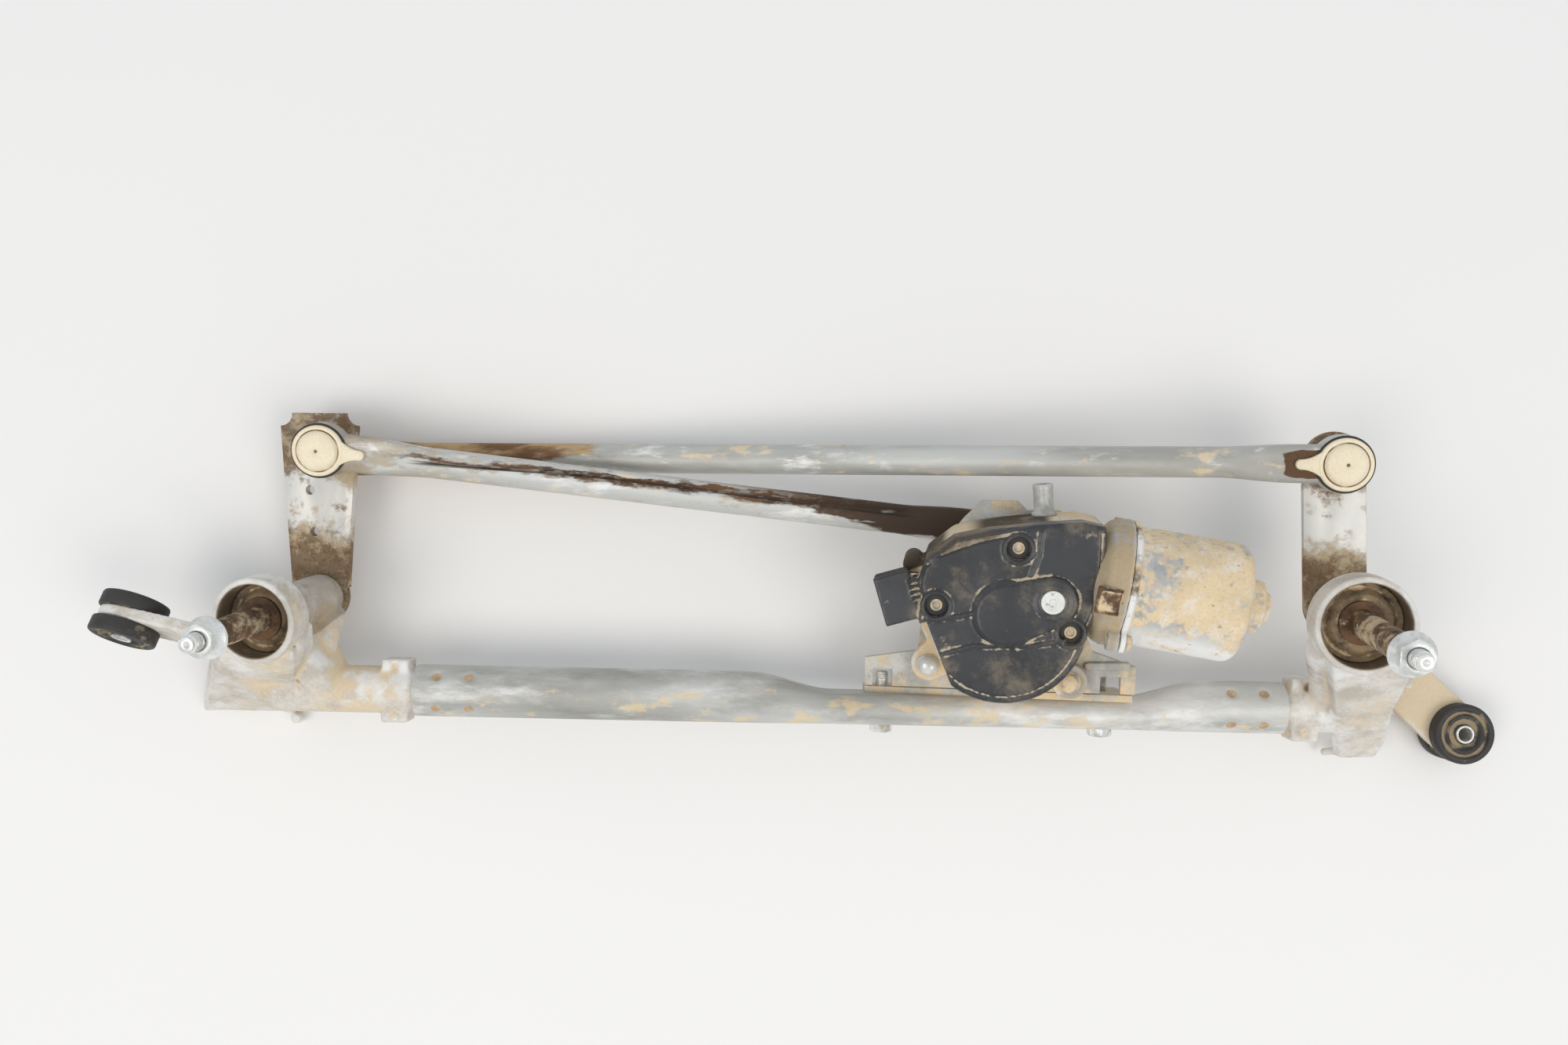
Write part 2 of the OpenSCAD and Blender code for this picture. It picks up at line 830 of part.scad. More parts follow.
module motor_yoke() {
  color([0.6, 0.57, 0.5])
    at_armature()
      difference() {
        union() {
          bar(yoke_d / 2, yoke_x, yoke_end);
          bar(yoke_d / 2 + 2, yoke_x, yoke_x + 2.5);
          bar(boss_d / 2, yoke_end, yoke_end + 8);
          bar(7, yoke_end, yoke_end + 11);
          for (s = [0, 180])
            rotate([0, 0, ear_turn + s])
              translate([yoke_ear, 0, yoke_x])
                bar(4.5, 0, 2.2);
        }
        bar(yoke_ir, yoke_x - 1, yoke_end - 2);
        bar(7, yoke_end - 3, yoke_end + 5);
        for (s = [0, 180])
          rotate([0, 0, ear_turn + s])
            translate([yoke_ear, 0, 0])
              bar(2 + bolt_clear, yoke_x - 5, yoke_x + 3);
      }
}

module yoke_screws() {
  color([0.62, 0.6, 0.55])
    at_armature()
      for (s = [0, 180])
        rotate([0, 0, ear_turn + s])
          translate([yoke_ear, 0, 0]) {
            bar(2, yoke_x - 5.5, yoke_x + 2.5);
            bar(3.5, yoke_x + 2.5, yoke_x + 5);
          }
}

module field_magnets() {
  color([0.2, 0.2, 0.21])
    at_armature()
      for (s = [-1, 1])
        intersection() {
          pipe(yoke_ir, core_d / 2 + 1.2, yoke_x + 8, yoke_end - 6);
          translate([-16, s > 0 ? 0 : -40, 0])
            cube([32, 40, 200]);
        }
}

module brush_holder() {
  color([0.16, 0.13, 0.1])
    at_armature()
      pipe(21.9, 11.5, yoke_x - 8, yoke_x - 5);
}

module brushes() {
  color([0.18, 0.18, 0.18])
    at_armature()
      for (s = [0, 180])
        rotate([0, 0, s])
          translate([9.4, -2.5, yoke_x - 5])
            cube([9, 5, 5]);
}

module front_bearing() {
  color([0.55, 0.43, 0.26])
    at_armature()
      pipe(bearing_r, arm_shaft_d / 2 + shaft_clear, 28, 34);
}

module rear_bearing() {
  color([0.55, 0.43, 0.26])
    at_armature()
      pipe(7, arm_shaft_d / 2 + shaft_clear, yoke_end - 2, yoke_end + 5);
}

module output_shaft() {
  color([0.7, 0.7, 0.7])
    at_motor() {
      bar(out_r, arm_lo - plate_z - 10, split_z + 3);
      bar(out_r + 2.4, 6.3, 9);
    }
}

module worm_wheel() {
  color([0.86, 0.84, 0.76])
    at_motor()
      difference() {
        bar(wheel_r, worm_z - 6, worm_z + 6);
        bar(out_r, 0, 60);
        for (a = [0 : 60 : 300])
          rotate([0, 0, a])
            translate([15, 0, 0])
              bar(4, 0, 60);
      }
}

// crank arm in the pose shown, from the output shaft to the pin
module crank_arm() {
  color([0.6, 0.58, 0.52])
    linkage()
      translate([crank_x, crank_y, arm_lo])
        rotate([0, 0, crank_angle])
          difference() {
            union() {
              cylinder(r = crank_w / 2 + 1, h = crank_t);
              translate([0, -crank_w / 2, 0])
                cube([crank_r, crank_w, crank_t]);
              translate([crank_r, 0, 0])
                cylinder(r = crank_w / 2, h = crank_t);
            }
            bar(out_r, -1, 20);
            translate([crank_r, 0, 0])
              bar(4, -1, 20);
          }
}

module crank_nut() {
  color([0.75, 0.75, 0.73])
    linkage()
      translate([crank_x, crank_y, arm_lo - 7])
        difference() {
          cylinder(r = 9.2, h = 7, $fn = 6);
          bar(out_r, -1, 20);
        }
}

module crank_rivet() {
  color([0.68, 0.67, 0.63])
    linkage()
      translate([crank_pin[0], crank_pin[1], arm_lo]) {
        bar(4, 0, crank_t);
        bar(6, crank_t, crank_t + 1.6);
      }
}

module armature_shaft() {
  color([0.7, 0.7, 0.7])
    at_armature() {
      bar(arm_shaft_d / 2, 18, yoke_end + 4.6);
      bar(worm_r, -20, 20);
      bar(3, -26, -20);
    }
}

module armature_core() {
  color([0.35, 0.35, 0.36])
    at_armature()
      difference() {
        bar(core_d / 2, yoke_x + 14, yoke_end - 12);
        bar(arm_shaft_d / 2, 0, 200);
      }
}

module windings() {
  color([0.62, 0.36, 0.18])
    at_armature()
      for (z = [[yoke_x + 8, yoke_x + 14], [yoke_end - 12, yoke_end - 7]])
        pipe(core_d / 2 - 3, arm_shaft_d / 2, z[0], z[1]);
}

module commutator() {
  color([0.7, 0.42, 0.25])
    at_armature()
      pipe(9, arm_shaft_d / 2, yoke_x - 7, yoke_x + 5);
}

// pivot shaft with thrust collar, arm cone and thread
module pivot_shaft() {
  color([0.5, 0.42, 0.34]) {
    bar(shaft_r, -lev - 2, nut_seat - 14);
    bar(shaft_r + 2.5, -lev - 2.5, -lev);
    bar(shaft_r + 3, lev, 4.1);
    translate([0, 0, nut_seat - 14])
      cylinder(r1 = shaft_r, r2 = shaft_r - 1, h = 14);
    bar(thread_d / 2, nut_seat, nut_seat + nut_h);
    bar(thread_d / 2 - 0.4, nut_seat + nut_h, shaft_tip);
  }
}

module left_shaft() {
  linkage()
    pivot_shaft();
}

module right_shaft() {
  at_right()
    pivot_shaft();
}

// flanged hex nut that holds a wiper arm
module arm_nut() {
  color([0.8, 0.8, 0.78])
    translate([0, 0, nut_seat])
      difference() {
        union() {
          cylinder(r = nut_flange_d / 2, h = 1.6);
          translate([0, 0, 1.6])
            cylinder(r1 = nut_flange_d / 2, r2 = nut_af / 2, h = 1.6);
          cylinder(r = nut_af / sqrt(3), h = nut_h, $fn = 6);
        }
        bar(thread_d / 2, -1, 40);
      }
}

module left_arm_nut() {
  linkage()
    arm_nut();
}

module right_arm_nut() {
  at_right()
    arm_nut();
}

// retaining clip above a seal
module clip(rim) {
  z = rim - cup_depth + 4.4;
  color([0.45, 0.42, 0.38])
    pipe(shaft_r + 3.5, shaft_r, z, z + 2);
}

module left_clip() {
  linkage()
    clip(left_rim);
}

module right_clip() {
  at_right()
    clip(right_rim);
}

module left_lever() {
  top = link_arm_y + left_lever_over;
  w = left_lever_w / 2;
  b = left_lever_root / 2;
  color([0.55, 0.53, 0.48])
    linkage()
      difference() {
        union() {
          translate([0, 0, -lev])
            linear_extrude(lever_t)
              polygon([[-b - 3, 4], [-w, top - 7], [-w, top], [w, top], [w, top - 7], [b - 2, 4]]);
          translate([-2.5, 0, -lev])
            cylinder(r = b, h = lever_t);
        }
        for (s = [-1, 1])
          translate([s * w, top, 0])
            bar(6, -10, 10);
        bar(shaft_r, -10, 10);
        translate([drive_arm_x, drive_arm_y, 0])
          bar(4, -10, 10);
        translate([link_arm_x, link_arm_y, 0])
          bar(4, -10, 10);
        translate([-5.5, 51, 0])
          bar(gauge_d / 2, -10, 10);
        translate([-4, 31, 0])
          bar(gauge_d / 2, -10, 10);
      }
}

module right_lever() {
  l = norm([link_arm_x, link_arm_y]);
  color([0.55, 0.53, 0.48])
    at_right()
      rotate([0, 0, atan2(-link_arm_x, link_arm_y)])
        difference() {
          union() {
            bar(right_lever_w / 2, -lev, lev);
            translate([-right_lever_w / 2, 0, -lev])
              cube([right_lever_w, l, lever_t]);
            translate([0, l, 0])
              bar(right_lever_w / 2, -lev, lev);
          }
          bar(shaft_r, -10, 10);
          translate([0, l, 0])
            bar(4, -10, 10);
        }
}

// ball stud standing on the upper face of a lever, its rivet end below
module ball_stud(h) {
  color([0.68, 0.67, 0.63]) {
    bar(4, -lev - 1, lev + 1);
    bar(5.5, -lev - 1.6, -lev);
    bar(foot_d / 2, lev, lev + 2);
    bar(neck_d / 2, lev, h);
    translate([0, 0, h])
      sphere(d = ball_d);
  }
}

module drive_ball_stud() {
  linkage()
    translate([drive_arm_x, drive_arm_y, 0])
      ball_stud(drive_ball_h);
}

module left_link_stud() {
  linkage()
    translate([link_arm_x, link_arm_y, 0])
      mirror([0, 0, 1])
        ball_stud(ball_h);
}

module right_link_stud() {
  at_right()
    translate([link_arm_x, link_arm_y, 0])
      ball_stud(ball_h);
}

// lower half of the crank joint: ball, neck and foot under the arm
module crank_ball_stud() {
  color([0.68, 0.67, 0.63])
    linkage()
      translate(crank_pin) {
        sphere(d = ball_d);
        bar(neck_d / 2, 0, ball_h - lev - crank_gap);
        bar(foot_d / 2, ball_h - lev - crank_gap - 2, ball_h - lev - crank_gap);
      }
}

// places the children at p with X pointing to q
module along(p, q) {
  d = q - p;
  linkage()
    translate(p)
      rotate([0, -asin(d[2] / norm(d)), atan2(d[1], d[0])])
        children();
}

// rolled rod with an eye at each end, set down by drop between them, with an open seam on one side
module rolled_rod(len, seam, drop) {
  difference() {
    union() {
      translate([rod_end_l + 10, 0, -drop])
        rotate([0, 90, 0])
          cylinder(r = rod_d / 2, h = len - 2 * rod_end_l - 20);
      for (e = [0, 1])
        translate([e * len, 0, 0])
          mirror([e, 0, 0]) {
            hull() {
              translate([rod_end_l - 10, -rod_end_w / 2, -rod_end_t / 2])
                cube([1, rod_end_w, rod_end_t]);
              translate([rod_end_l + 10, 0, -drop])
                rotate([0, 90, 0])
                  cylinder(r = rod_d / 2, h = 1, $fn = 32);
            }
            translate([0, -rod_end_w / 2, -rod_end_t / 2])
              cube([rod_end_l - 9.5, rod_end_w, rod_end_t]);
            bar(eye_d / 2, -rod_end_t / 2, rod_end_t / 2);
          }
    }
    for (e = [0, 1])
      translate([e * len, 0, 0])
        bar(eye_bore, -20, 20);
    translate([rod_end_l + 14, 0, -drop])
      rotate([0, 90, 0])
        cylinder(r = rod_d / 2 - rod_wall, h = len - 2 * rod_end_l - 28);
    translate([rod_end_l + 14, -rod_seam / 2, (seam > 0 ? 0 : -rod_d) - drop])
      cube([len - 2 * rod_end_l - 28, rod_seam, rod_d]);
  }
}

// plastic ball socket snapped in an eye, cap on top, tab toward the rod
module ball_socket() {
  color([0.86, 0.8, 0.66])
    difference() {
      union() {
        bar(socket_d / 2, -5, 6);
        bar(cap_d / 2, rod_end_t / 2 + 0.1, 7);
        bar(dome_d / 2, 7, 8.4);
        translate([0, 0, 8.4])
          cylinder(r1 = dome_d / 2, r2 = dome_d / 2 - 1.5, h = 1);
        translate([8, -2, rod_end_t / 2 + 0.1])
          cube([12, 4, 2]);
        translate([20, 0, rod_end_t / 2 + 0.1])
          cylinder(r = 2, h = 2);
      }
      sphere(r = sock_r);
      bar(6.3, -8, -4);
    }
}

module drive_rod() {
  color([0.6, 0.55, 0.47])
    along(drive_a, crank_pin)
      rolled_rod(norm(crank_pin - drive_a), 1, 0);
}

module drive_socket() {
  along(drive_a, crank_pin)
    ball_socket();
}

module crank_socket() {
  along(crank_pin, drive_a)
    rotate([180, 0, 0])
      ball_socket();
}

module link_rod() {
  color([0.62, 0.6, 0.55])
    along(link_a, link_b)
      rolled_rod(norm(link_b - link_a), -1, link_drop);
}

module left_link_socket() {
  along(link_a, link_b)
    rotate([180, 0, 0])
      ball_socket();
}

module right_link_socket() {
  along(link_b, link_a)
    ball_socket();
}

frame_tube();
left_housing();
right_housing();
left_shaft_bush();
right_shaft_bush();
left_seal();
right_seal();
left_bush();
right_bush();
left_bush_sleeve();
right_bush_sleeve();
motor_bracket();
bracket_bolts();
motor_bolts();
locating_peg();
gear_housing();
gear_cover();
cover_screws();
vent_plug();
connector_pins();
output_bush();
motor_yoke();
yoke_screws();
field_magnets();
brush_holder();
brushes();
front_bearing();
rear_bearing();
output_shaft();
worm_wheel();
crank_arm();
crank_nut();
crank_rivet();
armature_shaft();
armature_core();
windings();
commutator();
left_shaft();
left_lever();
drive_ball_stud();
left_link_stud();
left_arm_nut();
left_clip();
right_shaft();
right_lever();
right_link_stud();
right_arm_nut();
right_clip();
drive_rod();
drive_socket();
crank_socket();
crank_ball_stud();
link_rod();
left_link_socket();
right_link_socket();
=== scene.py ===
"""Looks of a windscreen wiper linkage with its motor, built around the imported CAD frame."""

from math import asin, atan2, cos, degrees, pi, radians, sin, sqrt

import bmesh
import bpy
import numpy as np
from bpy.props import FloatProperty, FloatVectorProperty, IntProperty, PointerProperty
from mathutils import Matrix, Vector


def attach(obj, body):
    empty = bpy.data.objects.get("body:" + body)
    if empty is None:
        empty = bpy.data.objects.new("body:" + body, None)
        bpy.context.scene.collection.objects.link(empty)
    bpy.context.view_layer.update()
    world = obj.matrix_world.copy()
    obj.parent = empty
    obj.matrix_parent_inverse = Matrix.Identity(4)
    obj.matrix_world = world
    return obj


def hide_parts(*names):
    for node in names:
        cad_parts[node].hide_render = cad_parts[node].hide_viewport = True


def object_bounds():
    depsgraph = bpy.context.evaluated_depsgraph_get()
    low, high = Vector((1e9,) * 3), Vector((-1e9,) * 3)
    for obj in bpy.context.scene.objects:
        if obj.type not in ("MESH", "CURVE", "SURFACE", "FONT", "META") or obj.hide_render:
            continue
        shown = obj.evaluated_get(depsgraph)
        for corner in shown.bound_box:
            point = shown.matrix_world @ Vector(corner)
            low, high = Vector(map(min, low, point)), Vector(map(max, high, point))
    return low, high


bl_info = {
    "name": "Wiper linkage looks",
    "version": (1, 0, 0),
    "blender": (4, 5, 0),
    "location": "View3D > Sidebar > Wiper",
    "description": "Dresses a wiper linkage and its gear motor in worn metal, plastic and rubber",
    "category": "Object",
}

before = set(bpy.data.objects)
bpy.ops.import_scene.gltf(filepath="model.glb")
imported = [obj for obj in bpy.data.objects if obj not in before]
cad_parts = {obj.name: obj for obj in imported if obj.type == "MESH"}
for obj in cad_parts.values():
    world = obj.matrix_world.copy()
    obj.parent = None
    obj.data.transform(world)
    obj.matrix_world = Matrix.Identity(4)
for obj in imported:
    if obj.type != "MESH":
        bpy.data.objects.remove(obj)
CAD_BOX = [list(corner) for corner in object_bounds()]
MM = 0.001


def turn(a, b, c):
    """Turn about X, then Y, then Z, in degrees."""
    return (
        Matrix.Rotation(radians(c), 4, "Z")
        @ Matrix.Rotation(radians(b), 4, "Y")
        @ Matrix.Rotation(radians(a), 4, "X")
    )


def shift(x, y, z):
    """Move by millimetres."""
    return Matrix.Translation((x, y, z))


def along(p, q):
    """Place at p with X pointing to q, both in the linkage's own axes."""
    d = Vector(q) - Vector(p)
    lean, heading = degrees(asin(d.z / d.length)), degrees(atan2(d.y, d.x))
    return LINK @ shift(*p) @ turn(0, -lean, heading)


# Places of the main groups, in millimetres, as in the CAD frame.
LINK = shift(-549.1, 55.4, 15.6) @ turn(7, -7.7, 0)
RIGHT_AT = (471.4, 3.5, -28.0)
RIGHT = LINK @ shift(*RIGHT_AT)
SIDES = (("left", LINK), ("right", RIGHT))
MOTOR = LINK @ shift(319.9, -0.1, -7.3) @ turn(0, 0, -8.8)
ARMATURE = MOTOR @ shift(0, 26.5, 24) @ turn(0, 90, 0)
LEFT_BUSH = shift(-622.3, 45.3, 58) @ turn(67, 0, -12)
RIGHT_BUSH = shift(0, 0, 10.5)
TUBE = shift(-498, 13.3, 36)
TUBE_LENGTH, TUBE_RADIUS, TUBE_WALL = 402.0, 12.0, 1.8
TUBE_CRIMPS = [(at, side) for at in (10.5, 25.5, 376.5, 391.5) for side in (50, 130)]

# The flattened middle of the tube: its ends, the run of each slope, its round and its offsets.
PRESS_START, PRESS_END, SLOPE_IN, SLOPE_OUT = 153, 365, 40, 33
PRESS_ROUND, PRESS_RISE, PRESS_ASIDE = 7.0, 7.85, 3.5

# The balls, in the linkage's own axes, and the rods between them.
DRIVE_BALL = (10.0, 71.4, 18.0)
CRANK_PIN = (319.9 + 34 * cos(radians(83.1)), -0.1 + 34 * sin(radians(83.1)), -32.0)
LINK_BALL = (-4.0, 65.6, -13.0)
FAR_BALL = (RIGHT_AT[0] - 4.0, RIGHT_AT[1] + 65.6, RIGHT_AT[2] + 13.0)
DRIVE_ROD = along(DRIVE_BALL, CRANK_PIN)
DRIVE_SPAN = (Vector(CRANK_PIN) - Vector(DRIVE_BALL)).length
LINK_ROD = along(LINK_BALL, FAR_BALL)
LINK_SPAN = (Vector(FAR_BALL) - Vector(LINK_BALL)).length
ROD_START, ROD_RADIUS = 11.0, 7.0
TONGUE_HALF, TONGUE_THICK = 8.5, 4.5
SOCKET_SEAT = 11.5

# Lips and floor of a rod's seam: angle as a share of half its width, and share of its depth.
SEAM = ((-1.25, 0.0), (-1.0, 0.12), (-0.8, 1.0), (-0.4, 1.1), (0.0, 1.15), (0.4, 1.1), (0.8, 1.0),
        (1.0, 0.12), (1.25, 0.0))
SEAM_DEPTH = 2.6

# Cups of the housings, along the pivot shafts.
CUP_FLOOR = {"left": 53.0, "right": 34.0}
CUP_BORE = {"left": 16.0, "right": 18.0}

# Places on the gearbox, in the motor's axes, and round its armature.
COVER_TOP = 43.0
COVER_SCREWS = ((1, 36), (-28.5, 6), (28.4, 4.6))
VENT = (18.6, 16.6)
LUG_BOLT, FAR_BOLT, LOW_BOLT = (-27, -27.8), (36.5, -24), (-6, 35.5)
UPPER_EDGE = MOTOR @ turn(0, 0, 30.2)
LUG_FLAT = MOTOR @ shift(-23.05, -15.65, 0) @ turn(0, 0, 210.3)
PLUG = MOTOR @ shift(-36, 10, 32) @ turn(0, 0, 25.4)
CLIP = MOTOR @ shift(39.4, 26.5, 24) @ turn(9, 0, 0) @ shift(0, 0, 26.5)
YOKE_EARS = tuple((30.1 * cos(radians(a)), 30.1 * sin(radians(a)), 0) for a in (45, 225))

# The stage, in metres and degrees.
TABLE_HALF, TABLE_GAP = 3.0, 0.0002
COOL_LIGHT, WARM_LIGHT = (0.89, 0.945, 1.0), (1.0, 0.945, 0.87)
LAMP_WIDTH, LIT_SPOT = 1.1, Vector((-0.33, 0.06, 0.03))
CAMERA_AT, CAMERA_TURN = (-0.3291, 0.095), 1.2


def linear(r, g, b):
    """A colour read off a screen, 0 to 255, as a linear one."""
    def one(c):
        c /= 255.0
        return c / 12.92 if c <= 0.04045 else ((c + 0.055) / 1.055) ** 2.4

    return (one(r), one(g), one(b))


def tint(label, text, r, g, b):
    """A colour property whose default is a screen colour."""
    return FloatVectorProperty(
        name=label, description=text, subtype="COLOR", size=3, min=0, max=1, default=linear(r, g, b)
    )


def length(label, text, mm):
    """A length property whose default is in millimetres."""
    return FloatProperty(name=label, description=text, unit="LENGTH", min=0, default=mm * MM)


class WiperSizes(bpy.types.PropertyGroup):
    """Sizes that belong to the looks and not to the fits."""

    cast_voxel: length("Casting detail", "Finest detail kept on the castings", 0.75)
    cover_voxel: length("Cover detail", "Finest detail kept on the gear cover", 0.5)
    edge: length("Pressed edge", "Rounding on the edges of pressed steel", 0.5)
    thread_pitch: length("Thread pitch", "Pitch of the arm threads", 1.25)
    dent_depth: length("Crimp depth", "Depth of the crimps at the tube ends", 1.3)
    dent_reach: length("Crimp reach", "Radius of a crimp", 4.2)
    seam_left: length("Seam at the lever", "Width of the rolled seam near the left lever", 1.4)
    seam_right: length("Seam at the crank", "Width of the rolled seam near the crank", 5.0)
    rounds: IntProperty(name="Round steps", description="Facets round a turned piece", min=12, default=72)


class WiperTints(bpy.types.PropertyGroup):
    """Colours of the finishes."""

    zinc: tint("Zinc", "Dull zinc on tube and rods", 200, 200, 196)
    zinc_dark: tint("Dark zinc", "Stained zinc", 160, 158, 151)
    cast: tint("Cast metal", "Bare die casting", 220, 214, 205)
    cast_dark: tint("Dark casting", "Stained die casting", 190, 181, 168)
    oxide: tint("White oxide", "Pale oxide on zinc and castings", 228, 226, 222)
    dust: tint("Dust", "Dried road dust", 230, 207, 170)
    grime: tint("Grime", "Oily dirt in hollows", 126, 107, 82)
    rust: tint("Rust", "Brown rust", 112, 80, 52)
    dark_rust: tint("Dark rust", "Old dark rust", 68, 53, 41)
    plastic: tint("Black plastic", "Moulded gear cover", 52, 53, 56)
    rubber: tint("Rubber", "Mounting bushes and seals", 54, 52, 50)
    cream: tint("Cream plastic", "Ball sockets", 240, 226, 197)
    bright: tint("Bright zinc", "Fresh zinc on the arm nuts", 232, 233, 231)
    paint: tint("Grey paint", "Paint on the motor yoke", 178, 179, 178)
    bronze: tint("Bronze", "Plain bearings", 140, 104, 58)
    copper: tint("Copper", "Windings", 168, 92, 46)
    white: tint("White plastic", "Vent disc and worm wheel", 236, 234, 229)
    dark_steel: tint("Dark steel", "Magnets and laminations", 70, 70, 72)


class WiperStage(bpy.types.PropertyGroup):
    """Floor, light and camera."""

    floor: tint("Floor", "Pale table", 240, 238, 236)
    height: length("Camera height", "Height of the camera above the table", 620.0)
    lens: FloatProperty(name="Lens", description="Focal length on a 36 mm sensor", min=1, default=28.71)
    sky: FloatProperty(name="Sky", description="Strength of the even light", min=0, default=0.71)
    key: FloatProperty(name="Key light", description="Power of the large lamp", min=0, default=11.0)


def sizes():
    """The scene's sizes."""
    return bpy.context.scene.wiper_sizes


def hue(name, share=1.0):
    """One of the scene's tints, darker or lighter by a share."""
    return tuple(share * x for x in getattr(bpy.context.scene.wiper_tints, name))


def between(a, b, share):
    """A colour on the way from one to another."""
    return tuple((1 - share) * x + share * y for x, y in zip(a, b))


def ease(u):
    """A smooth step from 0 to 1."""
    u = min(max(u, 0.0), 1.0)
    return u * u * (3 - 2 * u)


def steps(a, b, n):
    """Evenly spaced values, both ends included."""
    return [a + (b - a) * i / (n - 1) for i in range(n)]


def arc(cx, cy, r, a0, a1, n):
    """Points on part of a circle, angles in degrees."""
    return [(cx + r * cos(radians(a)), cy + r * sin(radians(a))) for a in steps(a0, a1, n)]


def ring(count, radius, z):
    """Points round the Z axis; radius and height are numbers or functions of the step."""
    def at(value, i):
        return value(i) if callable(value) else value

    turns = [2 * pi * i / count for i in range(count)]
    return [(at(radius, i) * cos(q), at(radius, i) * sin(q), at(z, i)) for i, q in enumerate(turns)]


def pill(ax, ay, ar, bx, by, br, n=18):
    """Outline round two circles and the straight sides between them."""
    d = Vector((bx - ax, by - ay))
    lean = degrees(atan2(d.y, d.x))
    open_ = degrees(asin((ar - br) / d.length))
    far = arc(bx, by, br, lean - 90 + open_, lean + 90 - open_, n)
    return far + arc(ax, ay, ar, lean + 90 - open_, lean + 270 + open_, n)


class Shell:
    """Gathers the faces of one piece, in millimetres."""

    def __init__(self):
        self.points, self.faces = [], []

    def add(self, points, faces, place=Matrix()):
        base = len(self.points)
        self.points += [tuple(place @ Vector(p)) for p in points]
        self.faces += [[i + base for i in face] for face in faces]
        return self

    def loft(self, rings, place=Matrix(), closed=False):
        """Skin over rings of equal count, joined end to end when closed and else with a lid at each end."""
        n, m = len(rings[0]), len(rings)
        faces = []
        for k in range(m if closed else m - 1):
            p, q = k * n, (k + 1) % m * n
            faces += [[p + i, p + (i + 1) % n, q + (i + 1) % n, q + i] for i in range(n)]
        if not closed:
            faces += [list(range(n))[::-1], list(range((m - 1) * n, m * n))]
        return self.add([p for one in rings for p in one], faces, place)

    def lathe(self, profile, place=Matrix(), closed=False, steps=None):
        """Turn (radius, height) points about Z; radius 0 makes a pole, closed makes a ring."""
        steps = steps or sizes().rounds
        points, rows = [], []
        for r, z in profile:
            if r < 1e-6:
                rows.append([len(points)] * steps)
                points.append((0, 0, z))
            else:
                rows.append(list(range(len(points), len(points) + steps)))
                points += ring(steps, r, z)
        faces = []
        for a, b in list(zip(rows, rows[1:])) + ([(rows[-1], rows[0])] if closed else []):
            for i in range(steps):
                j = (i + 1) % steps
                face = list(dict.fromkeys([a[i], a[j], b[j], b[i]]))
                if len(face) > 2:
                    faces.append(face)
        return self.add(points, faces, place)

    def slab(self, outline, low, high, place=Matrix()):
        """An outline raised from one height to another."""
        return self.loft([[(x, y, z) for x, y in outline] for z in (low, high)], place)

    def box(self, low, high, place=Matrix()):
        (a, b, c), (d, e, f) = low, high
        return self.slab([(a, b), (d, b), (d, e), (a, e)], c, f, place)

    def cad(self, node):
        """A merged copy of a CAD node."""
        bm = bmesh.new()
        bm.from_mesh(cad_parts[node].data)
        bmesh.ops.remove_doubles(bm, verts=bm.verts, dist=2e-6)
        bmesh.ops.dissolve_limit(bm, angle_limit=radians(0.4), verts=bm.verts, edges=bm.edges)
        bm.verts.index_update()
        points = [tuple(v.co / MM) for v in bm.verts]
        faces = [[v.index for v in f.verts] for f in bm.faces]
        bm.free()
        return self.add(points, faces)

    def piece(self, name, sharp=35, edge=0.0):
        """The gathered faces as an object at the origin, with its sharp edges rounded by edge."""
        mesh = bpy.data.meshes.new(name)
        mesh.from_pydata([Vector(p) * MM for p in self.points], [], self.faces)
        bm = bmesh.new()
        bm.from_mesh(mesh)
        bmesh.ops.remove_doubles(bm, verts=bm.verts, dist=1e-6)
        bmesh.ops.recalc_face_normals(bm, faces=bm.faces)
        bm.to_mesh(mesh)
        bm.free()
        obj = bpy.data.objects.new(name, mesh)
        bpy.context.scene.collection.objects.link(obj)
        if edge:
            bevel = obj.modifiers.new("edge", "BEVEL")
            bevel.width, bevel.segments = edge * MM, 3
            bevel.limit_method, bevel.angle_limit = "ANGLE", radians(32)
            bevel.use_clamp_overlap = True
            bake(obj)
        return smooth(obj, sharp)


def smooth(obj, sharp):
    """Shade smooth, apart from edges sharper than an angle."""
    obj.data.shade_smooth()
    obj.data.set_sharp_from_angle(angle=radians(sharp))
    return obj


def bake(obj):
    """Turn what the modifiers give into the object's own plain mesh."""
    bpy.context.view_layer.update()
    graph = bpy.context.evaluated_depsgraph_get()
    old = obj.data
    mesh = bpy.data.meshes.new_from_object(obj.evaluated_get(graph))
    obj.modifiers.clear()
    obj.data = mesh
    mesh.name = obj.name
    bpy.data.meshes.remove(old)
    return obj


def cast(obj, voxel, passes):
    """Blend overlapping solids into one skin with soft corners, as a mould leaves them."""
    skin = obj.modifiers.new("skin", "REMESH")
    skin.mode, skin.voxel_size = "VOXEL", voxel
    soft = obj.modifiers.new("soft", "SMOOTH")
    soft.factor, soft.iterations = 0.5, passes
    bake(obj)
    obj.data.shade_smooth()
    return obj


def pierce(obj, shell):
    """Cut a shape out of a piece."""
    tool = shell.piece("tool")
    cut = obj.modifiers.new("cut", "BOOLEAN")
    cut.operation, cut.object, cut.solver = "DIFFERENCE", tool, "EXACT"
    bake(obj)
    bpy.data.objects.remove(tool)


def trimmed(obj, voxel, cuts, passes):
    """A casting that is cut and then softened again along the cuts."""
    cast(obj, voxel, 1)
    for shell in cuts:
        pierce(obj, shell)
    return cast(obj, voxel, passes)


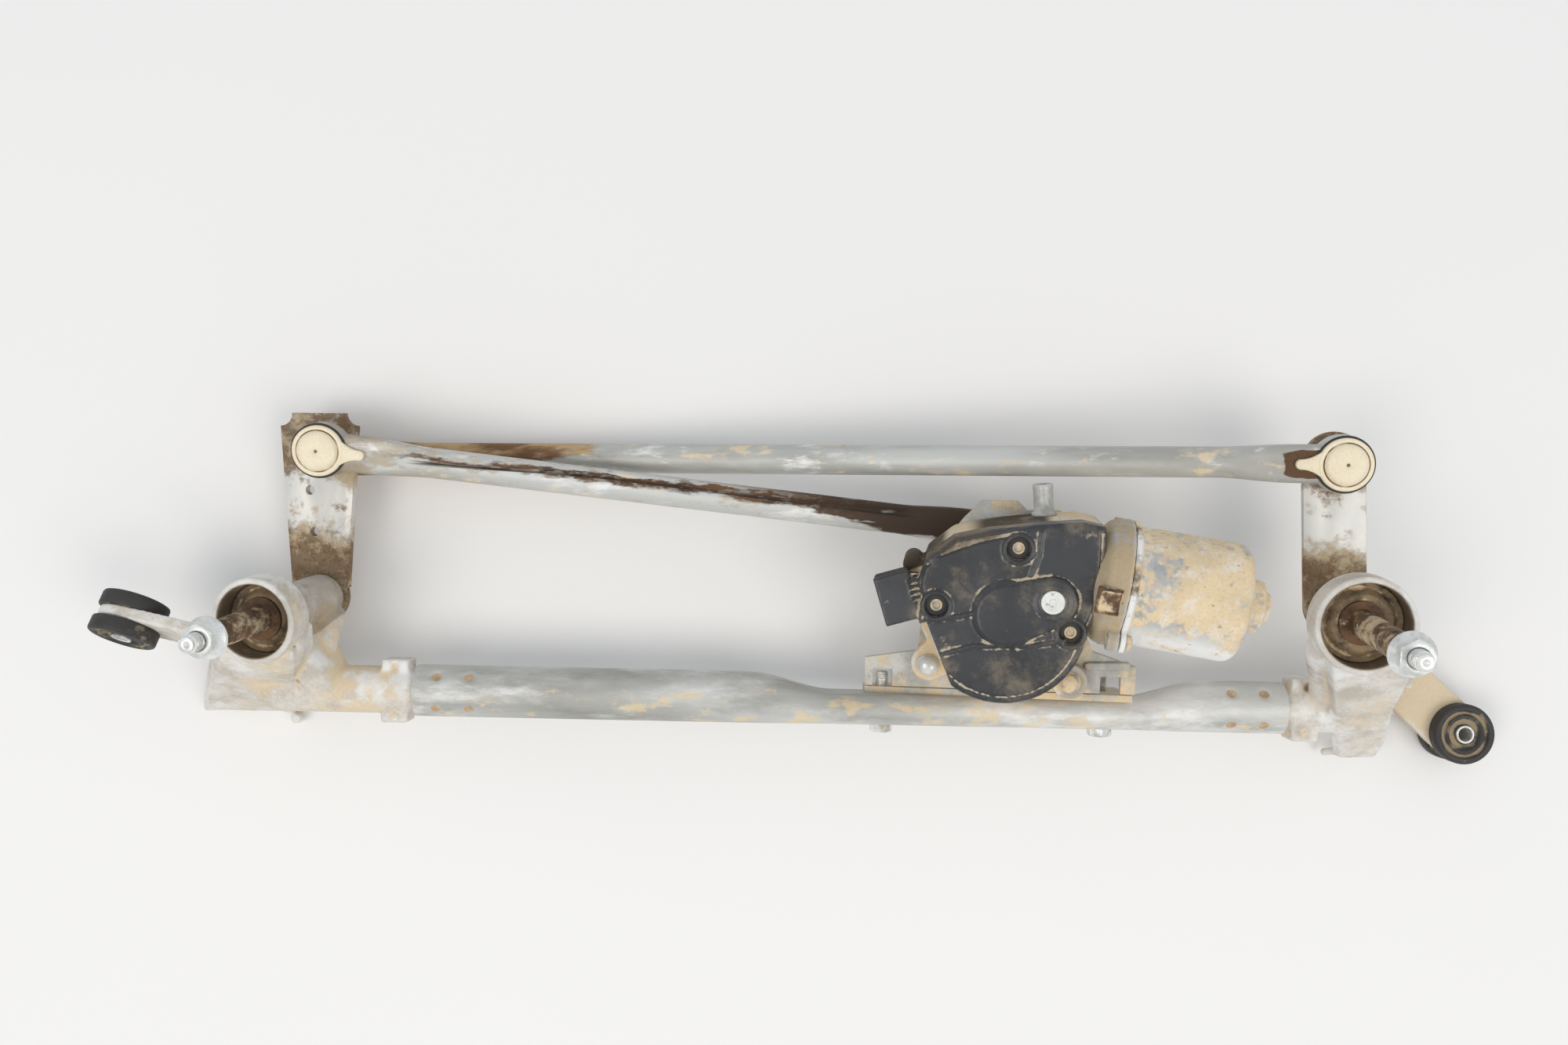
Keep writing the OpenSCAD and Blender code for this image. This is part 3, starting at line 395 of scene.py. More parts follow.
def mark_hollows(obj, blur=3, gain=2.4):
    """Store on each point how hollow the surface is: 0.5 is flat, 1 a hollow and 0 an edge."""
    mesh = obj.data
    count = len(mesh.vertices)
    spots = np.empty(count * 3)
    mesh.vertices.foreach_get("co", spots)
    spots = spots.reshape(-1, 3)
    up = np.empty(count * 3)
    mesh.vertex_normals.foreach_get("vector", up)
    up = up.reshape(-1, 3)
    ends = np.empty(len(mesh.edges) * 2, np.int32)
    mesh.edges.foreach_get("vertices", ends)
    a, b = ends.reshape(-1, 2).T
    step = spots[b] - spots[a]
    step /= np.maximum(np.linalg.norm(step, axis=1), 1e-9)[:, None]
    rise, fall = (step * up[a]).sum(1), (step * up[b]).sum(1)
    near = np.maximum(np.bincount(a, minlength=count) + np.bincount(b, minlength=count), 1)
    hollow = (np.bincount(a, rise, count) - np.bincount(b, fall, count)) / near
    for _ in range(blur):
        around = np.bincount(a, hollow[b], count) + np.bincount(b, hollow[a], count)
        hollow = 0.4 * hollow + 0.6 * around / near
    value = np.clip(0.5 + gain * hollow, 0, 1).astype(np.float32)
    layer = mesh.attributes.new("hollow", "FLOAT", "POINT")
    layer.data.foreach_set("value", value)
    return obj


def turned(name, profile, place, sharp=40, hollows=None, **lathe):
    """A lathed piece; hollows gives the blur and gain of its marks."""
    obj = Shell().lathe(profile, place, **lathe).piece(name, sharp)
    return mark_hollows(obj, *hollows) if hollows else obj


def carry(obj, body, coat, *nodes):
    """Give a piece its finish, let it ride on a body and stand for the CAD nodes."""
    obj.data.materials.clear()
    obj.data.materials.append(finish(coat))
    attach(obj, body)
    if nodes:
        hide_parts(*nodes)


def paint(coat, *nodes):
    """Give CAD nodes that stay in view a finish."""
    for node in nodes:
        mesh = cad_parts[node].data
        mesh.materials.clear()
        mesh.materials.append(finish(coat))


def put(tree, socket, value):
    """Link or set one socket."""
    if isinstance(value, bpy.types.NodeSocket):
        tree.links.new(value, socket)
    elif socket.type == "RGBA":
        socket.default_value = (*value, 1)
    else:
        socket.default_value = value


def add_node(tree, kind, inputs=None, **settings):
    """A node with its settings and inputs."""
    node = tree.nodes.new(kind)
    for name, value in settings.items():
        setattr(node, name, value)
    for key, value in (inputs or {}).items():
        put(tree, node.inputs[key], value)
    return node


class Coat:
    """Builds one worn finish from noise on Object coordinates."""

    def __init__(self, name):
        self.material = bpy.data.materials.new("worn_" + name)
        self.material.use_nodes = True
        self.tree = self.material.node_tree
        self.shader = self.tree.nodes["Principled BSDF"]
        self.where = self.add("TexCoord").outputs["Object"]

    def add(self, kind, inputs=None, **settings):
        return add_node(self.tree, "ShaderNode" + kind, inputs, **settings)

    def noise(self, scale, detail, move=0.0, rough=0.6, stretch=None):
        """Layered noise, moved away from others and stretched along X."""
        where = self.where
        if stretch or move:
            wide = (stretch, 1, 1) if isinstance(stretch, float) else stretch or (1, 1, 1)
            moved = {"Vector": where, "Scale": wide, "Location": (move, move * 0.7, move * 1.3)}
            where = self.add("Mapping", moved).outputs["Vector"]
        given = {"Vector": where, "Scale": scale, "Detail": detail, "Roughness": rough}
        return self.add("TexNoise", given).outputs["Fac"]

    def window(self, value, low, high, to_low=0.0, to_high=1.0):
        """A smooth step of a value between two limits."""
        given = {"Value": value, "From Min": low, "From Max": high, "To Min": to_low, "To Max": to_high}
        return self.add("MapRange", given, interpolation_type="SMOOTHSTEP").outputs["Result"]

    def math(self, kind, a, b):
        return self.add("Math", {0: a, 1: b}, operation=kind).outputs[0]

    def plus(self, a, b):
        return self.math("ADD", a, b)

    def less(self, a, b):
        return self.math("SUBTRACT", a, b)

    def times(self, a, b):
        return self.math("MULTIPLY", a, b)

    def most(self, a, b):
        return self.math("MAXIMUM", a, b)

    def mix(self, share, a, b):
        """A colour between two."""
        return self.add("Mix", {"Factor": share, 6: a, 7: b}, data_type="RGBA").outputs[2]

    def blend(self, share, a, b):
        """A number between two."""
        return self.add("Mix", {"Factor": share, 2: a, 3: b}, data_type="FLOAT").outputs[0]

    def hollow(self):
        return self.add("Attribute", attribute_name="hollow").outputs["Fac"]

    def vector(self, kind, a, b, output="Vector"):
        return self.add("VectorMath", {0: a, 1: b}, operation=kind).outputs[output]

    def away(self, place):
        """The way in metres from a place."""
        return self.vector("SUBTRACT", self.where, tuple(place.translation * MM))

    def reach(self, place, index):
        """Distance in metres along one axis of a place."""
        return self.vector("DOT_PRODUCT", self.away(place), tuple(place.to_3x3().col[index]), "Value")

    def radius(self, place):
        """Distance in metres from the Z axis of a place."""
        across = self.vector("CROSS_PRODUCT", self.away(place), tuple(place.to_3x3().col[2]))
        return self.add("VectorMath", {0: across}, operation="LENGTH").outputs["Value"]

    def near(self, spot, wide):
        """1 at a spot and 0 beyond a width, both in millimetres."""
        far = self.vector("DISTANCE", self.where, tuple(x * MM for x in spot), "Value")
        return self.window(far, wide * MM, wide * MM / 2)

    def bump(self, height, depth, reach):
        node = self.add("Bump", {"Strength": depth, "Distance": reach * MM, "Height": height})
        put(self.tree, self.shader.inputs["Normal"], node.outputs["Normal"])

    def done(self, colour, metal, rough):
        for name, value in (("Base Color", colour), ("Metallic", metal), ("Roughness", rough)):
            put(self.tree, self.shader.inputs[name], value)
        return self.material


def worn(
    c, tone, shade, metal, rough, patch, grain, depth, pale=None, edge=None, rust=None, dust=None,
    hollow=0.0, heaps=(), grime=None, cups=(), bands=(), specks=0.0, stretch=None, move=0.0,
):
    """A two-tone surface with grain, oxide, worn edges, rust, dust, grime in hollows, grime and painted
    shade in given zones, and specks.

    Rust and dust come as (colour, share, scale), grime as (colour, start), heaps of dust as (spot, width,
    more), darkened zones as (place, bore, low, high, share), whose darkening is grime and painted shade,
    and grimy bands as (place, low, high, blur, share).
    """
    shine, dull = metal, rough
    fine = c.noise(grain, 3.0, move)
    colour = c.mix(c.window(c.noise(patch, 6.0, move, stretch=stretch), 0.36, 0.66), tone, shade)
    colour = c.mix(c.window(fine, 0.4, 0.8, 0.0, 0.3), colour, tuple(x * 0.55 for x in shade))
    if pale:
        bloom = c.noise(patch * 0.6, 8.0, move + 1.9, 0.7, stretch)
        colour = c.mix(c.window(bloom, 0.47, 0.62), colour, pale)
    if edge:
        colour = c.mix(c.times(c.window(c.hollow(), 0.44, 0.3), 0.3), colour, edge)
    if rust:
        stain, share, scale = rust
        spots = c.noise(scale, 7.0, move + 3.1, 0.7, stretch)
        spots = c.window(spots, 0.62 - share, 0.8 - share)
        colour = c.mix(spots, colour, stain)
        shine, dull = c.blend(spots, shine, 0.0), c.blend(spots, dull, 0.85)
    if dust:
        laid, share, scale = dust
        dim = tuple(x * 0.74 for x in laid)
        settled = c.noise(scale, 8.0, move + 7.7, 0.7, stretch)
        if hollow:
            settled = c.plus(settled, c.times(c.less(c.hollow(), 0.5), hollow))
        for spot, wide, more in heaps:
            near = c.near(spot, wide)
            settled = c.plus(settled, c.times(near, more))
            laid = c.mix(near, laid, hue("dust"))
        cover = c.window(settled, 0.68 - share * 0.5, 0.84 - share * 0.5)
        colour = c.mix(cover, colour, c.mix(fine, laid, dim))
        shine, dull = c.blend(cover, shine, 0.0), c.blend(cover, dull, 0.92)
    if grime:
        grime_and_shade_tone, start = grime
        broken = c.window(c.noise(130, 6.0, move + 5.0), 0.34, 0.54, 0.35, 1.0)
        deep = c.times(c.window(c.hollow(), start, start + 0.2), broken)
        uneven = c.window(c.noise(70, 7.0, move + 6.0), 0.2, 0.5, 0.6, 1.0) if cups or bands else None
        # Zones darken toward the grime tone inside a bore round a place's Z axis, from one height to
        # another: grime together with painted shade.
        for place, bore, low, high, share in cups:
            inside = c.window(c.radius(place), (bore + 1.0) * MM, (bore + 0.2) * MM)
            inside = c.times(inside, c.window(c.reach(place, 2), low * MM, high * MM, 0.0, share))
            deep = c.most(deep, c.times(inside, uneven))
        for place, low, high, blur, share in bands:
            y = c.reach(place, 1)
            strip = c.window(y, (low - blur) * MM, low * MM)
            strip = c.times(strip, c.window(y, (high + blur) * MM, high * MM))
            colour = c.mix(c.times(c.times(strip, uneven), share), colour, tuple(x * 0.3 for x in grime_and_shade_tone))
        # Hollows and zones take the grime tone; in the zones this is partly painted shade.
        grime_and_shade_tone = c.mix(c.noise(150, 5.0, move + 2.6), grime_and_shade_tone, tuple(x * 0.65 for x in grime_and_shade_tone))
        colour = c.mix(deep, colour, grime_and_shade_tone)
        shine, dull = c.blend(deep, shine, 0.0), c.blend(deep, dull, 0.9)
    if specks:
        dots = c.window(c.noise(330, 2.0, move + 8.8), 0.7 - specks, 0.76 - specks, 0.0, 0.75)
        colour = c.mix(dots, colour, tuple(x * 0.35 for x in shade))
    c.bump(fine, depth, 0.12)
    return c.done(colour, shine, dull)


def plain_finishes():
    """Finishes that differ in numbers only: what worn takes from tone to depth, then the rest."""
    zinc, zinc_dark, bright, pale = hue("zinc"), hue("zinc_dark"), hue("bright"), hue("oxide")
    casting = (hue("cast"), hue("cast_dark"), 0.12, 0.62)
    rusty = (hue("rust"), hue("dark_rust"), 0.1)
    dust, rust, grime = hue("dust"), hue("rust"), hue("grime")
    # Darkened zones: the two cup bores above their floors, grime with painted shade, and the left pivot
    # barrel below 44 mm at half strength, painted shade.
    cups = (
        (LINK, CUP_BORE["left"], 51.5, 53.0, 1.0), (RIGHT, CUP_BORE["right"], 32.5, 34.0, 1.0),
        (LINK, 15.0, 44.0, 38.0, 0.5),
    )
    bands = ((UPPER_EDGE, 36.5, 42.5, 1.5, 1.0), (ARMATURE @ turn(90, 0, 0), 35.0, 46.0, 3.0, 0.4))
    heaps = (((-14, 13, 12), 40, 0.24), ((-535, 13, 42), 48, 0.1))
    return {
        "cast_housing": (*casting, 55, 650, 0.4, dict(
            pale=pale, edge=pale, dust=(between(dust, pale, 1 / 3), 0.36, 38), hollow=0.7, heaps=heaps,
            grime=(grime, 0.66), cups=cups,
        )),
        "gear_casting": (*casting, 60, 650, 0.4, dict(
            edge=pale, rust=(rust, 0.04, 75), dust=(dust, 0.66, 48), hollow=0.5, grime=(grime, 0.66),
            bands=bands, specks=0.02, move=0.2,
        )),
        "shaft_rust": (*rusty, 0.7, 120, 800, 0.6, dict(dust=(hue("dust", 0.7), 0.44, 90))),
        "clip_rust": (*rusty, 0.75, 160, 800, 0.5, dict(dust=(dust, 0.52, 110), hollow=0.3)),
        "bright_zinc": (bright, zinc, 0.22, 0.26, 120, 900, 0.12, {}),
        "bolt_zinc": (bright, zinc_dark, 0.35, 0.36, 160, 900, 0.2, dict(dust=(dust, 0.3, 140))),
        "dusty_screw": (dust, zinc_dark, 0.1, 0.6, 220, 900, 0.3, dict(dust=(dust, 0.5, 260))),
        "rubber": (hue("rubber"), hue("rubber", 0.6), 0.0, 0.6, 70, 1100, 0.3, dict(
            dust=(hue("dust", 0.48), 0.4, 70), hollow=0.5,
        )),
        "seal_rubber": (hue("grime", 1.6), hue("grime", 0.7), 0.0, 0.8, 90, 800, 0.5, dict(
            rust=(hue("rubber"), 0.1, 60), dust=(dust, 0.2, 75), hollow=0.6,
        )),
        "cream_plastic": (hue("cream"), hue("cream", 0.92), 0.0, 0.4, 60, 1200, 0.08, dict(
            rust=(rust, -0.05, 110), grime=(rust, 0.55),
        )),
        "white_plastic": (hue("white"), hue("white", 0.85), 0.0, 0.45, 90, 1200, 0.1, dict(
            rust=(hue("plastic"), 0.06, 320),
        )),
        "bracket_steel": (zinc, zinc_dark, 0.15, 0.58, 50, 700, 0.35, dict(
            rust=(rust, 0.03, 60), dust=(dust, 0.5, 46),
        )),
        "plated_steel": (zinc, zinc_dark, 0.35, 0.45, 70, 900, 0.25, dict(
            rust=(rust, 0.05, 70), dust=(dust, 0.3, 60),
        )),
        "peg_metal": (zinc, zinc_dark, 0.25, 0.42, 90, 700, 0.25, dict(dust=(dust, 0.1, 90))),
        "bronze": (hue("bronze"), hue("bronze", 0.6), 0.85, 0.4, 120, 1400, 0.2, {}),
        "copper": (hue("copper"), hue("copper", 0.6), 0.9, 0.35, 200, 1600, 0.5, dict(stretch=(1, 6, 6))),
        "clean_steel": (bright, zinc, 0.85, 0.3, 90, 1500, 0.1, {}),
        "dark_steel": (hue("dark_steel"), hue("dark_steel", 0.6), 0.6, 0.5, 150, 1200, 0.3, {}),
    }


def tube_finish(c):
    """Streaky zinc with pale blooms, ochre flecks along the lower half and rusty crimps."""
    fine = c.noise(900, 3.0)
    side = c.reach(TUBE, 1)
    colour = c.mix(c.window(c.noise(26, 6.0, stretch=0.25), 0.36, 0.66), hue("zinc"), hue("zinc_dark"))
    colour = c.mix(c.window(c.noise(30, 8.0, 1.9, 0.7, 0.35), 0.47, 0.66), colour, hue("oxide"))
    stain = c.window(c.noise(60, 7.0, 4.2, 0.65, 0.3), 0.52, 0.7, 0.0, 0.45)
    colour = c.mix(stain, colour, hue("zinc_dark", 0.62))
    flecks = c.plus(c.noise(150, 8.0, 7.7, 0.68, 0.55), c.window(side, 0.009, -0.004, -0.09, 0.0))
    flecks = c.plus(flecks, c.window(c.noise(18, 3.0, 2.2, stretch=0.5), 0.4, 0.6, -0.05, 0.03))
    flecks = c.window(flecks, 0.53, 0.62)
    red, green, blue = hue("dust")
    ochre = (red * 0.9, green * 0.86, blue * 0.66)
    colour = c.mix(c.times(flecks, 0.6), colour, c.mix(fine, ochre, hue("dust")))
    crimps = c.window(c.hollow(), 0.515, 0.555)
    colour = c.mix(crimps, colour, c.mix(c.noise(260, 4.0), hue("rust"), hue("dust")))
    c.bump(fine, 0.3, 0.12)
    gone = c.most(flecks, crimps)
    return c.done(colour, c.blend(gone, 0.2, 0.0), c.blend(gone, 0.5, 0.88))


def rod_base(c, move):
    """Streaky zinc with pale and dusty flecks, shared by the rods."""
    streaks = c.window(c.noise(34, 7.0, move, stretch=0.16), 0.36, 0.66)
    colour = c.mix(streaks, hue("zinc"), hue("zinc_dark"))
    colour = c.mix(c.window(c.noise(70, 8.0, move + 1.4, 0.7, 0.3), 0.52, 0.64), colour, hue("oxide"))
    flecks = c.window(c.noise(110, 8.0, move + 2.9, 0.7, 0.4), 0.56, 0.66)
    return c.mix(c.times(flecks, 0.7), colour, hue("dust")), flecks


def drive_rod_finish(c):
    """Zinc with rust along the upper edge that widens to dark brown at the crank."""
    fine = c.noise(900, 3.0)
    colour, flecks = rod_base(c, 0.0)
    u = c.math("DIVIDE", c.reach(DRIVE_ROD, 0), DRIVE_SPAN * MM)
    ragged = c.times(c.less(c.noise(130, 8.0, 1.5, 0.65, 0.35), 0.5), 0.012)
    side = c.plus(c.reach(DRIVE_ROD, 1), ragged)
    line = c.window(u, 0.66, 0.94, 0.001, -0.008)
    stain = c.window(c.less(side, line), -0.0006, 0.001)
    above = c.window(c.less(side, c.window(u, 0.08, 0.5, 0.0028, 0.0056)), 0.0006, -0.0006)
    stain = c.times(stain, c.most(above, c.window(u, 0.55, 0.72)))
    stain = c.times(stain, c.window(u, 0.07, 0.16))
    near = c.plus(c.noise(150, 8.0, 3.0, 0.7, 0.5), c.window(u, 0.04, 0.42, 0.0, -0.1))
    near = c.window(near, 0.47, 0.56)
    colour = c.mix(c.times(near, 0.6), colour, hue("dust", 0.6))
    colour = c.mix(c.window(u, 0.09, 0.05, 0.0, 0.45), colour, hue("grime"))
    brown = c.mix(c.window(u, 0.55, 0.85), hue("rust"), hue("dark_rust"))
    brown = c.mix(c.window(c.noise(170, 6.0, 5.1, stretch=0.3), 0.4, 0.7), brown, hue("dark_rust"))
    bare = c.times(c.window(c.noise(420, 4.0, 7.7, stretch=0.4), 0.5, 0.62), c.window(u, 0.8, 0.6))
    brown = c.mix(c.times(bare, 0.7), brown, hue("zinc_dark"))
    dashes = c.times(c.window(c.noise(210, 3.0, 6.3, stretch=0.14), 0.66, 0.72), c.window(u, 0.7, 0.8))
    colour = c.mix(stain, colour, c.mix(dashes, brown, hue("zinc_dark")))
    colour = c.mix(c.window(c.hollow(), 0.56, 0.75, 0.0, 0.9), colour, hue("dark_rust"))
    c.bump(fine, 0.3, 0.12)
    gone = c.most(c.most(stain, near), flecks)
    return c.done(colour, c.blend(gone, 0.2, 0.0), c.blend(gone, 0.46, 0.8))


def link_rod_finish(c):
    """Zinc with ochre and brown stains, strongest near the left end and round the right cap; the darker
    brown toward the left end is stain and painted shade.
    """
    fine = c.noise(900, 3.0)
    colour, flecks = rod_base(c, 0.6)
    u = c.math("DIVIDE", c.reach(LINK_ROD, 0), LINK_SPAN * MM)
    # Toward the left end the stains grow and turn from dust to darker ochre brown: stain, and painted shade
    # where the end lies low under the lever and drive rod.
    more = c.window(u, 0.44, 0.12, 0.0, 0.24)
    stain = c.window(c.plus(c.noise(48, 9.0, 3.7, 0.68, 0.28), more), 0.57, 0.68)
    red, green, blue = hue("dust")
    ochre = (red * 0.62, green * 0.53, blue * 0.42)
    ochre = c.mix(c.window(c.noise(90, 7.0, 5.5, stretch=0.3), 0.42, 0.6), ochre, hue("rust"))
    colour = c.mix(stain, colour, c.mix(c.window(u, 0.3, 0.55), ochre, hue("dust")))
    spots = c.window(c.noise(60, 8.0, 2.5, 0.72, 0.4), 0.64, 0.72)
    half = c.math("ABSOLUTE", c.reach(LINK_ROD, 1), 0.0)
    tongue = c.times(c.window(u, 0.93, 0.965), c.window(half, 0.0078, 0.0042))
    tongue = c.plus(c.times(c.noise(240, 7.0, 4.0), 0.5), tongue)
    spots = c.most(spots, c.window(tongue, 0.62, 0.74))
    colour = c.mix(spots, colour, c.mix(fine, hue("rust"), hue("dark_rust")))
    c.bump(fine, 0.3, 0.12)
    gone = c.most(c.most(stain, spots), flecks)
    return c.done(colour, c.blend(gone, 0.2, 0.0), c.blend(gone, 0.46, 0.85))


def lever_finish(c):
    """Pale zinc plate, rusted and dusty toward the pivot and round the ball."""
    fine = c.noise(900, 3.0)
    warm = c.mix(c.noise(30, 5.0, 6.0), hue("zinc"), hue("cast"))
    colour = c.mix(c.window(c.noise(48, 6.0), 0.36, 0.62), hue("zinc"), warm)
    y = c.add("SeparateXYZ", {0: c.where}).outputs[1]
    ends = c.plus(c.window(y, 0.093, 0.077), c.window(y, 0.106, 0.122, 0.0, 0.7))
    dusty = c.window(c.plus(c.noise(62, 8.0, 2.2, 0.7), c.times(ends, 0.2)), 0.52, 0.68)
    colour = c.mix(dusty, colour, c.mix(fine, hue("dust", 0.7), hue("dust", 0.45)))
    rusty = c.window(c.plus(c.noise(85, 8.0, 5.2, 0.72), c.times(ends, 0.19)), 0.55, 0.7)
    earth = c.mix(c.window(c.noise(140, 6.0, 9.1), 0.36, 0.62), hue("rust"), hue("grime"))
    earth = c.mix(c.window(fine, 0.45, 0.8), earth, hue("dark_rust"))
    colour = c.mix(c.times(rusty, 0.88), colour, earth)
    c.bump(fine, 0.3, 0.12)
    gone = c.most(dusty, rusty)
    return c.done(colour, c.blend(gone, 0.25, 0.0), c.blend(gone, 0.42, 0.85))


def can_finish(c):
    """Grey paint under dried dust that is broken near the front and thin along the lower side, where the
    paint is lightened toward the oxide tint as a painted highlight.
    """
    fine = c.noise(800, 3.0)
    ahead = c.reach(ARMATURE, 2)
    # The lower side toward -Y: lightened toward the oxide tint as a painted highlight, and its dust is
    # thinner.
    low = c.window(c.reach(MOTOR @ shift(0, 26.5, 0), 1), -0.009, -0.02)
    colour = c.mix(c.window(c.noise(70, 6.0), 0.38, 0.62), hue("paint"), hue("paint", 0.72))
    colour = c.mix(low, colour, hue("oxide"))
    settled = c.plus(c.noise(230, 9.0, 7.7, 0.6), c.noise(60, 4.0, 1.7))
    settled = c.less(settled, c.times(c.window(ahead, 0.076, 0.054), 0.13))
    settled = c.less(settled, c.times(low, 0.22))
    cover = c.window(settled, 0.72, 0.93)
    sand = c.mix(c.window(c.noise(45, 6.0, 3.3), 0.36, 0.64), hue("dust"), hue("dust", 0.86))
    sand = c.mix(c.window(c.noise(120, 7.0, 5.8, 0.65), 0.46, 0.66, 0.0, 0.6), sand, hue("oxide"))
    sand = c.mix(c.window(fine, 0.4, 0.8, 0.0, 0.6), sand, hue("dust", 0.7))
    colour = c.mix(cover, colour, sand)
    colour = c.mix(c.window(c.noise(300, 2.0, 8.8), 0.7, 0.76, 0.0, 0.6), colour, hue("grime"))
    collar = c.window(c.noise(95, 8.0, 2.1, 0.7), 0.44, 0.56)
    collar = c.times(c.window(ahead, 0.0515, 0.0505), collar)
    flange = c.mix(c.window(c.noise(60, 6.0, 9.1), 0.44, 0.56), hue("grime"), hue("oxide"))
    colour = c.mix(collar, colour, flange)
    c.bump(c.plus(c.times(fine, 0.4), cover), 0.35, 0.2)
    return c.done(colour, 0.0, c.blend(cover, 0.45, 0.92))


def cover_finish(c):
    """Black moulding with dried dust along its steps and round its ragged rim."""
    fine = c.noise(1400, 3.0)
    x = c.reach(MOTOR, 0)
    colour = c.mix(c.window(c.noise(40, 6.0), 0.4, 0.66), hue("plastic"), hue("plastic", 0.6))
    film = c.window(c.noise(52, 8.0, 4.4, 0.7), 0.46, 0.7, 0.0, 0.34)
    film = c.times(film, c.window(x, -0.043, -0.036))
    colour = c.mix(film, colour, hue("dust", 0.5))
    rim = c.times(c.window(c.reach(MOTOR, 2), 0.0437, 0.0431), c.window(x, -0.0395, -0.0375))
    band = c.times(c.window(c.reach(UPPER_EDGE, 1), 0.0372, 0.039), rim)
    band = c.times(band, c.window(c.noise(80, 7.0, 2.4), 0.3, 0.6))
    settled = c.plus(c.noise(90, 9.0, 7.7, 0.68), c.times(rim, 0.1))
    settled = c.plus(settled, c.times(c.less(c.hollow(), 0.5), 0.9))
    cover = c.window(settled, 0.62, 0.72)
    dried = between(hue("dust"), hue("zinc_dark"), 0.5)
    colour = c.mix(cover, colour, c.mix(fine, dried, tuple(x * 0.6 for x in dried)))
    colour = c.mix(band, colour, hue("grime", 0.6))
    c.bump(fine, 0.18, 0.08)
    return c.done(colour, 0.0, c.blend(cover, 0.33, 0.9))


def table_finish(c):
    """Pale matt table."""
    pale = tuple(bpy.context.scene.wiper_stage.floor)
    return c.done(c.mix(c.noise(3.0, 2.0), pale, tuple(x * 0.97 for x in pale)), 0.0, 0.7)


OWN_FINISHES = {
    "tube_zinc": tube_finish, "drive_rod_zinc": drive_rod_finish, "link_rod_zinc": link_rod_finish,
    "lever_zinc": lever_finish, "can_paint": can_finish, "cover_plastic": cover_finish,
    "pale_table": table_finish,
}


def finish(name):
    """One of this object's finishes, built on first use."""
    known = bpy.data.materials.get("worn_" + name)
    if known:
        return known
    if name in OWN_FINISHES:
        return OWN_FINISHES[name](Coat(name))
    *plain, more = plain_finishes()[name]
    return worn(Coat(name), *plain, **more)


def tube_ring(x, cut):
    """One section of the frame tube: crimped outside at its ends and pressed flat in the middle."""
    reach, deep = sizes().dent_reach / MM, sizes().dent_depth / MM
    flat = ease((x - PRESS_START) / SLOPE_IN) * ease((PRESS_END - x) / SLOPE_OUT)
    r, w = TUBE_RADIUS - cut, PRESS_ROUND - cut
    count = 112
    points = []
    for i in range(count):
        a = 2 * pi * (i + 0.5) / count
        rise = PRESS_RISE if sin(a) > 0 else -PRESS_RISE
        y = (1 - flat) * r * cos(a) + flat * (w * cos(a) - PRESS_ASIDE)
        z = (1 - flat) * r * sin(a) + flat * (w * sin(a) + rise)
        for at, side in TUBE_CRIMPS if not cut else ():
            far = sqrt((x - at) ** 2 + (r * (a - radians(side))) ** 2) / reach
            if far < 1:
                dent = deep * (1 - far * far) ** 1.5 / r
                y, z = y * (1 - dent), z * (1 - dent)
        points.append((x, y, z))
    return points


def tube_stations():
    """Places of the tube's sections, close together at the ends."""
    ends = steps(0, 44, 59)
    return ends + steps(48, 354, 70) + [TUBE_LENGTH - x for x in reversed(ends)]


def rod_ring(x, span, drop, seam, groove):
    """One section of a rolled rod: a flat tongue at each ball and a seamed tube between."""
    near = min(x, span - x)
    round_ = ease((near - 20) / 32)
    a = TONGUE_HALF + (ROD_RADIUS - TONGUE_HALF) * round_
    b = TONGUE_THICK + (ROD_RADIUS - TONGUE_THICK) * round_
    n = 6 - 4 * round_
    half = groove(x / span) / 2 / ROD_RADIUS
    depth = SEAM_DEPTH * ease((near - 40) / 14)
    angles = [(half * k, dip) for k, dip in SEAM]
    angles += [(q, 0.0) for q in steps(half * 1.25, 2 * pi - half * 1.25, 46)[1:-1]]
    points = []
    for q, dip in angles:
        q += radians(seam(x / span))
        cy, cz = cos(q), sin(q)
        k = (abs(cy) ** n + abs(cz) ** n) ** (-1 / n)
        y, z = a * k * cy, b * k * cz
        pull = 1 - dip * depth / max(sqrt(y * y + z * z), 1e-6)
        y, z = y * pull, z * pull
        at = x
        if x == ROD_START:
            at = sqrt(SOCKET_SEAT ** 2 - y * y)
        elif x == span - ROD_START:
            at = span - sqrt(SOCKET_SEAT ** 2 - y * y)
        points.append((at, y, z - drop * round_))
    return points


def rolled_rod(name, place, span, drop, seam, groove):
    """A rod rolled from sheet, with an eye at each end."""
    near = [ROD_START] + steps(14, 62, 25)
    stations = near + steps(66, span - 66, 60) + [span - x for x in reversed(near)]
    shell = Shell().loft([rod_ring(x, span, drop, seam, groove) for x in stations], place)
    edge = [(10.25, 4.2), (10.55, 4.5), (12.2, 4.5), (12.65, 4.3), (12.8, 3.9)]
    eye = [(r, -z) for r, z in edge] + edge[::-1]
    for x in (0, span):
        shell.lathe(eye, place @ shift(x, 0, 0), closed=True)
    return mark_hollows(shell.piece(name, 50), 1, 1.6)


